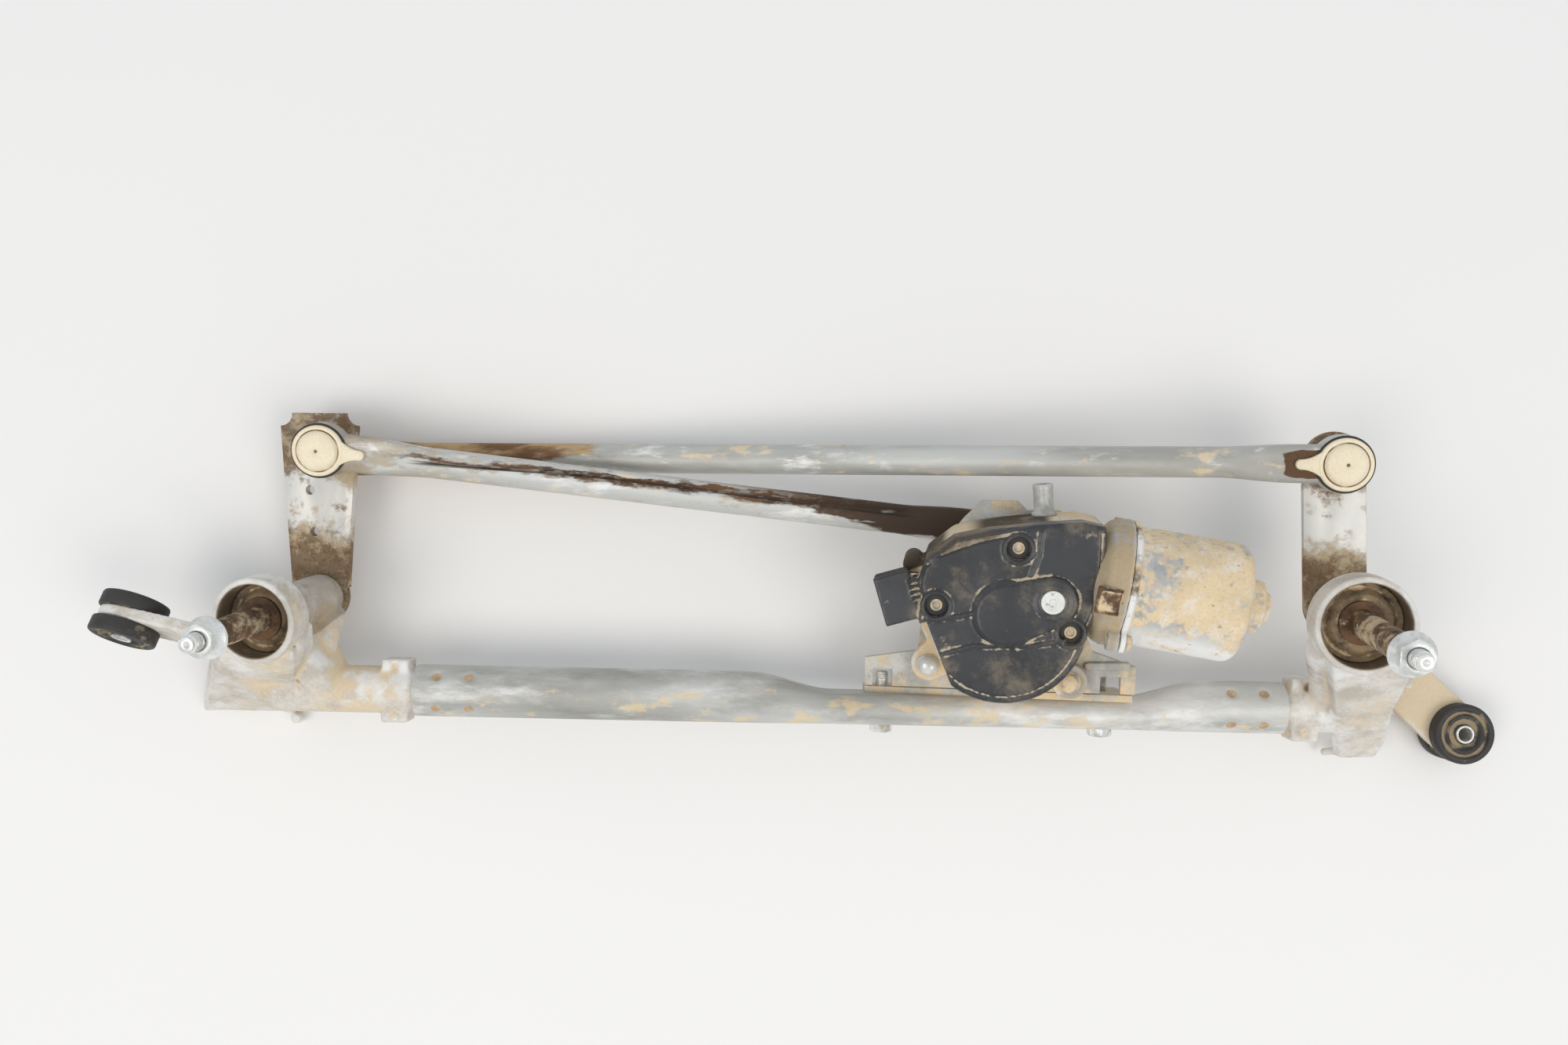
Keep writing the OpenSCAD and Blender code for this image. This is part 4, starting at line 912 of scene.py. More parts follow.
def socket_shell(place):
    """A snapped-in ball socket with its domed cap and the tab that points along the rod."""
    void = arc(0, 0, 8.15, 90, -37.8, 16)
    void[0] = (0, 8.15)
    wall = [(6.9, -5.0), (9.8, -5.0), (10.2, -4.6), (10.2, 4.6), (11.3, 4.65), (11.65, 4.95), (11.7, 5.4),
            (11.6, 6.5), (11.2, 6.95), (10.4, 7.05), (9.7, 6.75), (9.35, 6.8), (9.2, 7.2), (8.9, 8.1),
            (8.2, 8.75), (7.0, 9.1), (5.0, 9.32), (2.6, 9.4), (1.3, 9.4), (1.0, 9.2), (0.7, 9.0),
            (0, 8.95)]
    shell = Shell().lathe(void + wall, place)
    side = [(7.0, 9.0)]
    for u in steps(0.12, 1, 8):
        a, b, c = (1 - u) ** 2, 2 * u * (1 - u), u * u
        side.append((a * 7.0 + b * 11.5 + c * 17.6, a * 9.0 + b * 3.0 + c * 2.3))
    outline = side + arc(18.6, 0, 2.3, 80, -80, 9) + [(x, -y) for x, y in reversed(side)]
    rings = []
    for z, inset in ((4.6, 0.0), (6.2, 0.0), (6.55, 0.2), (6.7, 0.55)):
        pull = inset * 0.6
        rings.append([
            (x - 0.15 * inset, y * (1 - inset / 12) - (pull if y > 0 else -pull), z) for x, y in outline
        ])
    return shell.loft(rings, place)


HEX_STEPS = 72
HEX_CHAMFER = 0.58


def hexagon(flats, top, height):
    """Distance of a hexagon's side from its middle and height of its turned chamfer, by step."""
    def side(i):
        q = (2 * pi * i / HEX_STEPS + pi / 6) % (pi / 3) - pi / 6
        return flats / 2 / cos(q)

    def chamfer(i):
        return height - (side(i) - top) * HEX_CHAMFER

    return side, chamfer


def hex_nut(place, flats, height, bore, flange, thick):
    """A flanged hexagon nut with a turned chamfer on top; flange is a radius."""
    top = flats / 2 * 0.96
    side, chamfer = hexagon(flats, top, height)

    def body(i):
        return min(side(i), flats / sqrt(3) - 0.15)

    def foot(i):
        return body(i) + 0.15

    rows = (
        (bore, 0.5), (bore + 0.5, 0), (flange - 0.3, 0), (flange, 0.3), (flange, thick - 0.5),
        (flange - 0.4, thick), (foot, thick + 1.3), (body, thick + 1.7), (body, chamfer), (top, height),
        (bore + 0.5, height), (bore, height - 0.5),
    )
    return Shell().loft([ring(HEX_STEPS, r, z) for r, z in rows], place, closed=True)


def hex_head(shell, place, flats, height):
    """A hexagon bolt head with a turned chamfer, standing on z 0."""
    top = flats / 2 * 0.94
    side, chamfer = hexagon(flats, top, height)
    rows = ((side, 0), (side, chamfer), (top, height), (top * 0.6, height + 0.25))
    return shell.loft([ring(HEX_STEPS, r, z) for r, z in rows], place)


def metres(place):
    """A place in millimetres as one in metres."""
    out = place.copy()
    out.translation = place.translation * MM
    return out


def node_tree(name, *inputs):
    """A geometry tree and its inputs, with None in place of the inputs when it was there before."""
    tree = bpy.data.node_groups.get(name)
    if tree:
        return tree, None
    tree = bpy.data.node_groups.new(name, "GeometryNodeTree")
    tree.interface.new_socket("Geometry", in_out="OUTPUT", socket_type="NodeSocketGeometry")
    for label, kind in inputs:
        tree.interface.new_socket(label, in_out="INPUT", socket_type="NodeSocket" + kind)
    return tree, add_node(tree, "NodeGroupInput").outputs


def close_tree(tree, given, geometry):
    """End a tree in Realize Instances and Set Material."""
    real = add_node(tree, "GeometryNodeRealizeInstances", {"Geometry": geometry}).outputs["Geometry"]
    skin = add_node(tree, "GeometryNodeSetMaterial", {"Geometry": real, "Material": given["Finish"]})
    add_node(tree, "NodeGroupOutput", {"Geometry": skin.outputs["Geometry"]})
    return tree


def thread_tree():
    """A ridge wound along a spiral."""
    floats = [(name, "Float") for name in ("Radius", "Height", "Turns", "Ridge")]
    tree, given = node_tree("thread_ridge", *floats, ("Finish", "Material"))
    if not given:
        return tree
    spiral = add_node(tree, "GeometryNodeCurveSpiral", {
        "Resolution": 40, "Start Radius": given["Radius"], "End Radius": given["Radius"],
        "Height": given["Height"], "Rotations": given["Turns"],
    })
    ridge = {"Resolution": 6, "Radius": given["Ridge"]}
    section = add_node(tree, "GeometryNodeCurvePrimitiveCircle", ridge)
    sweep = add_node(tree, "GeometryNodeCurveToMesh", {
        "Curve": spiral.outputs["Curve"], "Profile Curve": section.outputs["Curve"], "Fill Caps": True,
    })
    return close_tree(tree, given, sweep.outputs["Mesh"])


def repeat_tree():
    """One shape set at every point."""
    inputs = (("Geometry", "Geometry"), ("Shape", "Object"), ("Finish", "Material"))
    tree, given = node_tree("set_at_points", *inputs)
    if not given:
        return tree
    spots = add_node(tree, "GeometryNodeMeshToPoints", {"Mesh": given["Geometry"]})
    shape = add_node(tree, "GeometryNodeObjectInfo", {"Object": given["Shape"]})
    copies = add_node(tree, "GeometryNodeInstanceOnPoints", {
        "Points": spots.outputs["Points"], "Instance": shape.outputs["Geometry"],
    })
    return close_tree(tree, given, copies.outputs["Instances"])


def grow(name, tree, points=((0, 0, 0),), **values):
    """Run a geometry tree on a few points and keep what it gives as a plain mesh."""
    mesh = bpy.data.meshes.new(name)
    mesh.from_pydata([Vector(p) * MM for p in points], [], [])
    obj = bpy.data.objects.new(name, mesh)
    bpy.context.scene.collection.objects.link(obj)
    run = obj.modifiers.new(name, "NODES")
    run.node_group = tree
    for item in tree.interface.items_tree:
        if item.in_out == "INPUT" and item.name in values:
            run[item.identifier] = values[item.name]
    return bake(obj)


def thread(place, radius, low, high, pitch, coat):
    """A thread ridge from one height to another."""
    obj = grow(
        "thread", thread_tree(), Radius=radius * MM, Height=(high - low) * MM, Turns=(high - low) / pitch,
        Ridge=0.42 * pitch * MM, Finish=finish(coat),
    )
    obj.data.transform(metres(place @ shift(0, 0, low)))
    return smooth(obj, 40)


def repeat(name, shell, points, place, coat, sharp=35):
    """A shape set at each point, then placed."""
    shape = shell.piece("one_" + name, sharp)
    obj = grow(name, repeat_tree(), points, Shape=shape, Finish=finish(coat))
    bpy.data.objects.remove(shape)
    obj.data.transform(metres(place))
    return smooth(obj, sharp)


def join(first, *others):
    """Put several pieces in one."""
    bm = bmesh.new()
    for obj in (first, *others):
        bm.from_mesh(obj.data)
    bm.to_mesh(first.data)
    bm.free()
    for obj in others:
        bpy.data.objects.remove(obj)
    return first


def bulge(shell, start, middle, end, radius):
    """A round web bent from one place over another to a third, for a casting."""
    start, middle, end = Vector(start), Vector(middle), Vector(end)
    rings = []
    for u in steps(0, 1, 14):
        at = start * (1 - u) ** 2 + middle * (2 * u * (1 - u)) + end * (u * u)
        ahead = (middle - start) * (1 - u) + (end - middle) * u
        side = ahead.to_track_quat("Z", "Y").to_matrix()
        rings.append([at + side @ Vector(p) for p in ring(20, radius, 0)])
    return shell.loft(rings)


def beside_lug(out, low, high):
    """Block that flattens the round of the gearbox beside its lug, standing out from the flat."""
    return Shell().box((out, -16.4, low), (out + 9, 20, high), LUG_FLAT)


def rib(shell, points, width, low, high):
    """A raised line along points on the gear cover."""
    for (ax, ay), (bx, by) in zip(points, points[1:]):
        shell.slab(pill(ax, ay, width / 2, bx, by, width / 2, 6), low, high, MOTOR)


class Maker:
    """What the operators of this file share."""

    bl_options = {"REGISTER", "UNDO"}

    def execute(self, context):
        self.make()
        return {"FINISHED"}


class WIPER_OT_tube(Maker, bpy.types.Operator):
    """Frame tube, pressed flat under the motor and crimped on its spigots"""

    bl_idname = "wiper.tube"
    bl_label = "Frame tube"

    def make(self):
        stations = tube_stations()
        outside = [tube_ring(x, 0.0) for x in stations]
        inside = [tube_ring(x, TUBE_WALL) for x in reversed(stations[::6] + [TUBE_LENGTH])]
        shell = Shell().loft(outside + inside, TUBE, closed=True)
        carry(mark_hollows(shell.piece("tube", 45), 2, 1.5), "frame", "tube_zinc", "frame_tube")


class WIPER_OT_rods(Maker, bpy.types.Operator):
    """Rolled drive rod and link rod with their eyes"""

    bl_idname = "wiper.rods"
    bl_label = "Rods"

    def make(self):
        wide, narrow = sizes().seam_right / MM, sizes().seam_left / MM
        drive = rolled_rod(
            "drive_rod_rolled", DRIVE_ROD, DRIVE_SPAN, 0, lambda u: 90 - 38 * ease(u * 3 - 0.3),
            lambda u: narrow + (wide - narrow) * ease(u * 1.1),
        )
        carry(drive, "drive_rod", "drive_rod_zinc", "drive_rod")
        link = rolled_rod("link_rod_rolled", LINK_ROD, LINK_SPAN, 6, lambda u: -90, lambda u: narrow)
        carry(link, "link_rod", "link_rod_zinc", "link_rod")


class WIPER_OT_sockets(Maker, bpy.types.Operator):
    """Cream ball sockets with domed caps, each over a rubber dust ring"""

    bl_idname = "wiper.sockets"
    bl_label = "Ball sockets"

    def make(self):
        over = turn(180, 0, 0)
        boot = [(11.9 + 0.75 * cos(q), 4.75 + 0.55 * sin(q)) for q in steps(0, 2 * pi * 11 / 12, 12)]
        for node, body, place in (
            ("drive_socket", "drive_rod", DRIVE_ROD),
            ("crank_socket", "drive_rod", along(CRANK_PIN, DRIVE_BALL) @ over),
            ("left_link_socket", "link_rod", LINK_ROD @ over),
            ("right_link_socket", "link_rod", along(FAR_BALL, LINK_BALL)),
        ):
            cap = mark_hollows(socket_shell(place).piece(node + "_cap", 50), 2, 2.2)
            carry(cap, body, "cream_plastic", node)
            carry(turned(node + "_ring", boot, place, 60, closed=True), body, "rubber")


class WIPER_OT_housings(Maker, bpy.types.Operator):
    """Die-cast pivot housings"""

    bl_idname = "wiper.housings"
    bl_label = "Pivot housings"

    def make(self):
        left = Shell().cad("left_housing")
        left.lathe([(0, 0), (2.6, 0), (2.6, 7), (0, 7)], shift(-566.5, -6.2, 0.3), steps=24)
        nose = [(10.9 * cos(radians(a)), -20 * sin(radians(a))) for a in steps(2, 90, 14)]
        nose[-1] = (0, -20)
        left.lathe([(0, 1), (10.9, 1)] + nose, shift(-555.5, 13.3, 36) @ turn(0, 90, 0), steps=48)
        bulge(left, LINK @ Vector((7, -7, 9)), (-543, 37, 42), (-544, 16, 38), 7.0)
        bulge(left, LINK @ Vector((15.5, -6, 50)), (-563, 16, 46), (-567, 1, 12), 2.4)
        right = Shell().cad("right_housing")
        bulge(right, RIGHT @ Vector((-12, -14, 26)), (-80, 29, 48), (-76, 15, 40), 7.0)
        bulge(right, RIGHT @ Vector((-7.5, -18.5, 38)), (-58, 2, 30), (-54.5, -11.5, 10), 2.6)
        bulge(right, RIGHT @ Vector((16, -18, 38)), (-57, 12, 44), (-42, -11.5, 10), 2.4)
        bulge(right, (-57, -9, 16), (-58.5, -11, 8), (-62.5, -12.5, 4.5), 1.9)
        foot = [(-51, 10.5), (-48, 5), (-44.5, -1), (-41.5, -8), (-40.0, -22), (-26, -22), (-28, 2),
                (-36, 9), (-44, 12)]
        waist = [(-57.2, 24), (-55, 17.5), (-50, 9), (-36, 9), (-36, 24)]
        shoulder = [(-61, 34), (-59.2, 29), (-57.2, 23.5), (-40, 23.5), (-40, 34)]
        cuts = [
            Shell().slab(outline, low, high)
            for outline, low, high in ((foot, -5, 50), (waist, 27, 74), (shoulder, 67, 95))
        ]
        for side, shell, end, trims in (("left", left, -513.5, []), ("right", right, -93.0, cuts)):
            for x in (end, end + 8.3):
                for low, high in ((-1.2, 5.2), (21.4, 27.8)):
                    shell.box((x, low, 40), (x + 4.2, high, 43.4))
            obj = trimmed(shell.piece(side + "_casting"), sizes().cast_voxel, trims, 4)
            carry(mark_hollows(obj), "frame", "cast_housing", side + "_housing")


class WIPER_OT_seals(Maker, bpy.types.Operator):
    """Rubber boots in the cups, with the clips above them"""

    bl_idname = "wiper.seals"
    bl_label = "Seals"

    def make(self):
        wall = ((0.05, 0.05), (0.05, 2.6), (0.8, 3.3), (1.9, 2.6), (2.9, 1.9), (4.0, 2.8), (4.9, 4.6),
                (5.9, 5.4), (6.7, 5.0))
        lip = ((9.0, 4.4), (8.6, 5.2), (7.9, 5.6), (7.2, 5.2), (6.6, 4.6))
        for side, place in SIDES:
            floor, bore = CUP_FLOOR[side], CUP_BORE[side]
            fold = [(6.6, 0.05)] + [(bore - inset, up) for inset, up in wall] + list(lip)
            fold = [(r, floor + up) for r, up in fold]
            boot = turned(side + "_boot", fold, place, 60, (1, 1.2), closed=True)
            carry(boot, "frame", "seal_rubber", side + "_seal")
            paint("clip_rust", side + "_clip")


class WIPER_OT_shafts(Maker, bpy.types.Operator):
    """Rusty pivot shafts with splined cones, threads and bright flanged nuts"""

    bl_idname = "wiper.shafts"
    bl_label = "Pivot shafts and nuts"

    def make(self):
        body = [(0, -4.5), (8.1, -4.5), (8.5, -4.1), (8.5, -2.0), (6.0, -2.0), (6.0, 2.0), (8.6, 2.0),
                (9.0, 2.4), (9.0, 3.8), (8.7, 4.1), (6.0, 4.1), (6.0, 66), (5.75, 66.4), (5.75, 68),
                (6.0, 68.4), (6.0, 73), (5.7, 73.5), (5.7, 75.5), (6.0, 76), (6.0, 83.6), (5.4, 84.2),
                (5.0, 84.2), (3.5, 97.9), (3.2, 98), (0, 98)]
        cone = ((84, 5.85), (84.6, 6.0), (88, 5.72), (97.4, 5.06), (97.9, 4.6))
        splines = [ring(120, lambda i: r * (1 - 0.035 * (i % 3 == 0)), z) for z, r in cone]
        core = [(0, 97.5), (3.4, 97.5), (3.4, 112.2), (3.0, 112.8), (2.2, 113), (1.0, 113), (0.5, 112.6),
                (0, 112.5)]
        for side, place in SIDES:
            lever = side + "_lever"
            rod = Shell().lathe(body, place).loft(splines, place).piece(side + "_spindle", 40)
            carry(mark_hollows(rod, 1, 1.0), lever, "shaft_rust", side + "_shaft")
            ridge = thread(place, 3.4, 105.0, 112.0, sizes().thread_pitch / MM, "bright_zinc")
            end = join(turned(side + "_thread", core, place, steps=40), ridge)
            carry(smooth(end, 40), lever, "bright_zinc")
            nut = hex_nut(place @ shift(0, 0, 98), 13, 8, 4.05, 9.0, 1.6).piece(side + "_nut", 40)
            carry(nut, lever, "bright_zinc", side + "_arm_nut")


class WIPER_OT_levers(Maker, bpy.types.Operator):
    """Pressed levers and their ball studs"""

    bl_idname = "wiper.levers"
    bl_label = "Levers"

    def make(self):
        for side, _ in SIDES:
            lever = side + "_lever"
            plate = Shell().cad(lever).piece(lever + "_plate", 30, sizes().edge / MM)
            carry(plate, lever, "lever_zinc", lever)
        paint("plated_steel", "drive_ball_stud", "left_link_stud", "right_link_stud", "crank_ball_stud")


class WIPER_OT_bushes(Maker, bpy.types.Operator):
    """Rubber mounting bushes with their steel sleeves"""

    bl_idname = "wiper.bushes"
    bl_label = "Mounting bushes"

    def make(self):
        rubber = [(4.3, -9.5), (13.3, -9.5), (14.1, -9.2), (14.5, -8.4), (14.5, -3.4), (14.2, -2.85),
                  (13.6, -2.75), (10.2, -2.75), (10.2, 2.75), (13.6, 2.75), (14.2, 2.85), (14.5, 3.4),
                  (14.5, 8.2), (14.2, 9.0), (13.4, 9.5), (12.0, 9.5), (11.5, 9.3), (11.2, 8.4),
                  (10.6, 7.9), (9.9, 8.0), (9.5, 8.7), (9.2, 9.2), (8.4, 9.2), (7.6, 8.8), (7.0, 7.6),
                  (6.2, 7.2), (5.2, 7.4), (4.7, 8.2), (4.3, 8.6)]
        steel = [(3.3, -10.2), (3.6, -10.5), (8.2, -10.5), (8.5, -10.3), (8.5, -9.7), (8.3, -9.5),
                 (4.3, -9.5), (4.3, 9.3), (4.1, 9.5), (3.5, 9.5), (3.3, 9.3)]
        for side, place in (("left", LEFT_BUSH), ("right", RIGHT_BUSH)):
            bush = turned(side + "_rubber", rubber, place, 50, (1, 1.2), closed=True)
            carry(bush, "frame", "rubber", side + "_bush")
            sleeve = turned(side + "_sleeve", steel, place, closed=True)
            carry(sleeve, "frame", "bolt_zinc", side + "_bush_sleeve")


class WIPER_OT_bracket(Maker, bpy.types.Operator):
    """Motor bracket with its raised lip, and the two bolts that clamp it on the tube"""

    bl_idname = "wiper.bracket"
    bl_label = "Motor bracket"

    def make(self):
        plate = Shell().cad("motor_bracket").piece("bracket_plate", 30, sizes().edge / MM)
        carry(plate, "frame", "bracket_steel", "motor_bracket")
        lip = Shell().slab(pill(361, -23.6, 1.9, 377.6, -22.9, 1.9, 12), -8.6, -5.4, LINK)
        carry(lip.piece("bracket_lip", 30, 0.8), "frame", "bracket_steel")
        bolt = [(0, 0.2), (2.5, 0.2), (2.5, 23.6), (2.1, 24), (0, 24)]
        parts = []
        for x in (-282, -180):
            place = shift(x, 2.8, 36) @ turn(-90, 0, 0)
            shell = hex_head(Shell().lathe(bolt, place, steps=32), place @ turn(180, 0, 0), 9.9, 4.2)
            parts.append(shell.piece("clamp_bolts"))
            parts.append(thread(place, 2.55, 14.0, 23.4, 1.0, "bolt_zinc"))
        carry(smooth(join(*parts), 35), "frame", "bolt_zinc", "bracket_bolts")


class WIPER_OT_gearbox(Maker, bpy.types.Operator):
    """Cast gear housing with its lugs and spring clip, and the locating peg"""

    bl_idname = "wiper.gearbox"
    bl_label = "Gear housing"

    def make(self):
        shell = Shell().cad("gear_housing")
        shell.slab(pill(-26.8, -27.6, 8.0, -10, -12, 12, 16), 0.5, 7.9, MOTOR)
        post = [(0, 6), (4.2, 6), (4.2, 29.5), (3.4, 30.4), (0, 30.6)]
        shell.lathe(post, MOTOR @ shift(-41.5, 19.5, 0), steps=36)
        neck = [(16.5, 33.6), (18.3, 33.0), (25.4, 38.0), (26.6, 39.6), (26.6, 47.9), (24.0, 47.9),
                (23.4, 39.6)]
        shell.lathe(neck, ARMATURE, closed=True, steps=64)
        case = trimmed(shell.piece("gear_case"), sizes().cast_voxel, [beside_lug(1.7, 9.0, 60)], 3)
        carry(mark_hollows(case), "frame", "gear_casting", "gear_housing")
        clip = Shell()
        for low, high in (
            ((-4.6, -5.6, -0.6), (5.4, -4.4, 2.4)), ((-4.6, 4.4, -0.6), (5.4, 5.6, 2.4)),
            ((-4.6, -5.6, -0.6), (-3.4, 5.6, 2.4)), ((-4, -5, -0.6), (5.2, 5, 1.2)),
        ):
            clip.box(low, high, CLIP)
        spring = cast(clip.piece("spring_clip"), sizes().cover_voxel, 2)
        carry(mark_hollows(spring, 2), "frame", "clip_rust")
        wall = Vector((17, 4))
        at = Vector((8, 47.6)) + 0.2 * wall
        place = MOTOR @ shift(at.x, at.y, 12) @ turn(-90, 0, degrees(atan2(wall.y, wall.x)))
        pin = [(0, -3.8), (2.9, -3.8), (2.9, 0), (5.2, 0), (5.5, 0.4), (5.4, 1.3), (4.9, 1.7),
               (4.45, 2.2), (4.3, 6.0), (4.3, 11.4), (4.5, 12.0), (4.5, 13.3), (4.2, 13.9), (3.6, 14),
               (3.2, 13.6), (3.1, 10), (0, 10)]
        carry(turned("peg", pin, place, 40, (1, 1.0), steps=48), "frame", "peg_metal", "locating_peg")


class WIPER_OT_cover(Maker, bpy.types.Operator):
    """Moulded black gear cover with its connector, vent disc and contact pins"""

    bl_idname = "wiper.cover"
    bl_label = "Gear cover"

    def make(self):
        shell = Shell().cad("gear_cover")
        top, deck = COVER_TOP, COVER_TOP + 0.9
        plate = [(-33.5, 5), (-36.2, 15.5), (-35.4, 21.5), (-31, 26.6), (-17, 34.6), (-4.3, 40.4),
                 (7, 45.4), (24.6, 49.4), (32.6, 48.9), (36.2, 23),
                 (32.4, 4)] + arc(0, 4, 31.4, -8, -172, 48)
        raised = Shell().slab(plate, top - 1, deck, MOTOR).piece("raised_deck")
        for x, y, r in [(*spot, 4.85) for spot in COVER_SCREWS] + [(*VENT, 5.15)]:
            drill = [(0, 30), (r, 30), (r, 60), (0, 60)]
            pierce(raised, Shell().lathe(drill, MOTOR @ shift(x, y, 0), steps=40))
        shell.slab(pill(1, 7.5, 13.2, *VENT, 10.5, 24), top - 1, deck + 1.5, MOTOR)
        shell.slab(pill(1, 7.5, 12.3, *VENT, 9.6, 24), top + 1, deck + 2.1, MOTOR)
        rib(shell, [(-32, -0.5), (-17.5, 3.6), (-13.5, 5.5)], 1.3, top - 1, deck + 0.8)
        rib(shell, [(-23.5, -14.5), (-11, -8.2), (14, -3.4), (27, 1.6)], 1.3, top - 1, deck + 0.8)
        rib(shell, [(9, 44.6), (9.5, 34), (8, 26)], 1.2, top - 1, deck + 0.6)
        back = [(-34.5, 24.6), (-25.4, 34.8), (-12, 40.2), (8, 45.8), (25, 49.8), (33.4, 49.4)]
        rib(shell, back, 1.4, top - 2, top + 0.7)
        rib(shell, arc(0, 4, 33.2, 190, 352, 40), 1.4, top - 2, top + 0.7)
        collar = [(4.85, top - 1), (6.8, top - 1), (6.8, deck + 0.3), (6.3, deck + 0.8), (5.3, deck + 0.8),
                  (4.85, deck + 0.4)]
        for x, y in COVER_SCREWS:
            shell.lathe(collar, MOTOR @ shift(x, y, 0), closed=True, steps=40)
        vent = MOTOR @ shift(*VENT, 0)
        cup = [(5.15, top - 1), (7.4, top - 1), (7.4, deck + 2.3), (7.0, deck + 2.6), (5.5, deck + 2.6),
               (5.15, deck + 2.3)]
        shell.lathe(cup, vent, closed=True, steps=48)
        tooth = Shell().box((-3.2, -0.55, 0), (3.2, 0.55, 3.2))
        comb = repeat("comb", tooth, [(-0.5, y, 7.0) for y in (-1.5, 0.9, 3.3, 5.7)], PLUG, "cover_plastic")
        for z in (3.5, -1.0):
            shell.box((-17.5, -11.2, z), (-3.5, 11.2, z + 0.9), PLUG)
        obj = join(shell.piece("moulded_cover"), raised, comb)
        obj = trimmed(obj, sizes().cover_voxel, [beside_lug(0.0, 30, 60)], 1)
        carry(mark_hollows(obj, 3, 3.8), "frame", "cover_plastic", "gear_cover")
        disc = [(0, top - 1.9), (4.95, top - 1.9), (4.95, deck + 2.4), (4.6, deck + 2.8), (3.6, deck + 2.8),
                (3.2, deck + 2.5), (1.6, deck + 2.4), (1.4, deck + 2.7), (0, deck + 2.7)]
        seal = turned("vent_disc", disc, vent, 40, (1, 1.0), steps=48)
        carry(seal, "frame", "white_plastic", "vent_plug")
        paint("bronze", "connector_pins")


class WIPER_OT_fasteners(Maker, bpy.types.Operator):
    """Cover screws, motor bolts and yoke screws"""

    bl_idname = "wiper.fasteners"
    bl_label = "Fasteners"

    def make(self):
        screw = [(0, 21), (1.7, 21.2), (2.0, 22), (2.0, 39), (3.9, 39), (4.0, 39.3), (3.9, 40.6),
                 (3.3, 41.2), (2.0, 41.4), (1.7, 41.2), (1.5, 40.2), (0, 40.1)]
        collar = [(2.6, 40.0), (4.7, 40.0), (4.7, 41.6), (2.9, 41.8), (2.6, 41.5)]
        pan = [(0, 42.6), (2, 42.6), (2, 50.5), (3.4, 50.5), (3.5, 50.8), (3.4, 52.2), (2.7, 52.9),
               (1.6, 53), (1.3, 52), (0, 51.9)]
        spots = [(x, y, 0) for x, y in COVER_SCREWS]
        heads = repeat("cover_screw_heads", Shell().lathe(screw, steps=40), spots, MOTOR, "dusty_screw", 40)
        carry(heads, "frame", "dusty_screw", "cover_screws")
        rings = Shell().lathe(collar, closed=True, steps=40)
        carry(repeat("screw_collars", rings, spots, MOTOR, "rubber", 40), "frame", "rubber")
        bolt = [(0, -5), (2.7, -5), (3.0, -4.6), (3.0, 8), (4.6, 8), (4.8, 8.3), (4.8, 9.0), (4.2, 9.4),
                (4.2, 11.2), (3.8, 12.2), (2.9, 12.9), (1.6, 13.3), (0, 13.4)]
        lug = turned("lug_bolt", bolt, MOTOR @ shift(*LUG_BOLT, 0), 38, steps=48)
        carry(turned("far_bolt", bolt, MOTOR @ shift(*FAR_BOLT, 0), 38, steps=48), "frame", "dusty_screw")
        low = Shell().lathe([(0, -3), (3, -3), (3, 9.8), (0, 9.8)], MOTOR @ shift(*LOW_BOLT, 0), steps=40)
        hex_head(low, MOTOR @ shift(*LOW_BOLT, -3) @ turn(180, 0, 0), 9.3, 2.4)
        join(lug, low.piece("low_bolt"))
        carry(smooth(lug, 38), "frame", "bright_zinc", "motor_bolts")
        head = Shell().lathe(pan, steps=36)
        heads = repeat("yoke_screw_heads", head, YOKE_EARS, ARMATURE, "dusty_screw", 40)
        carry(heads, "frame", "dusty_screw", "yoke_screws")


class WIPER_OT_yoke(Maker, bpy.types.Operator):
    """Drawn motor yoke, painted grey under dried dust"""

    bl_idname = "wiper.yoke"
    bl_label = "Motor yoke"

    def make(self):
        outer = [(27.2, 48.05), (27.5, 48.4), (27.5, 50.1), (27.1, 50.5), (26.4, 50.6), (25.9, 51.0),
                 (25.6, 51.8), (25.5, 53.5), (25.0, 54.4), (24.8, 55.4), (25.0, 56.4), (25.5, 57.4),
                 (25.5, 92)]
        outer += arc(20, 92, 5.5, 6, 84, 9)
        outer += [(17, 97.5), (12.4, 97.5), (11.6, 97.7), (11.25, 98.3), (11.25, 104.3), (10.9, 105.1),
                  (10.2, 105.5), (7.9, 105.5), (7.2, 105.7), (7.0, 106.3), (7.0, 107.6), (6.6, 108.3),
                  (5.8, 108.5), (0, 108.5)]
        inner = [(0, 103.5), (7.05, 103.5), (7.05, 95.55), (23.5, 95.55), (23.5, 48.05)]
        ear = [(2.15, 48.05), (4.2, 48.05), (4.5, 48.3), (4.5, 49.9), (4.2, 50.2), (2.15, 50.2)]
        shell = Shell().lathe(outer + inner + outer[:1], ARMATURE, steps=96)
        for x, y, _ in YOKE_EARS:
            shell.lathe(ear, ARMATURE @ shift(x, y, 0), closed=True, steps=40)
            shell.box((25, -4.4, 48.1), (28.4, 4.4, 50.1), ARMATURE @ turn(0, 0, degrees(atan2(y, x))))
        carry(mark_hollows(shell.piece("yoke_can", 40), 1, 1.0), "frame", "can_paint", "motor_yoke")


class WIPER_OT_crank(Maker, bpy.types.Operator):
    """Crank arm with its nut and rivet"""

    bl_idname = "wiper.crank"
    bl_label = "Crank"

    def make(self):
        for node, name, edge, coat in (
            ("crank_arm", "crank_plate", sizes().edge / MM, "plated_steel"),
            ("crank_nut", "crank_nut_worn", 0.4, "bolt_zinc"),
            ("crank_rivet", "crank_rivet_worn", 0.4, "plated_steel"),
        ):
            carry(Shell().cad(node).piece(name, 30, edge), "crank", coat, node)
        paint("clean_steel", "output_shaft")


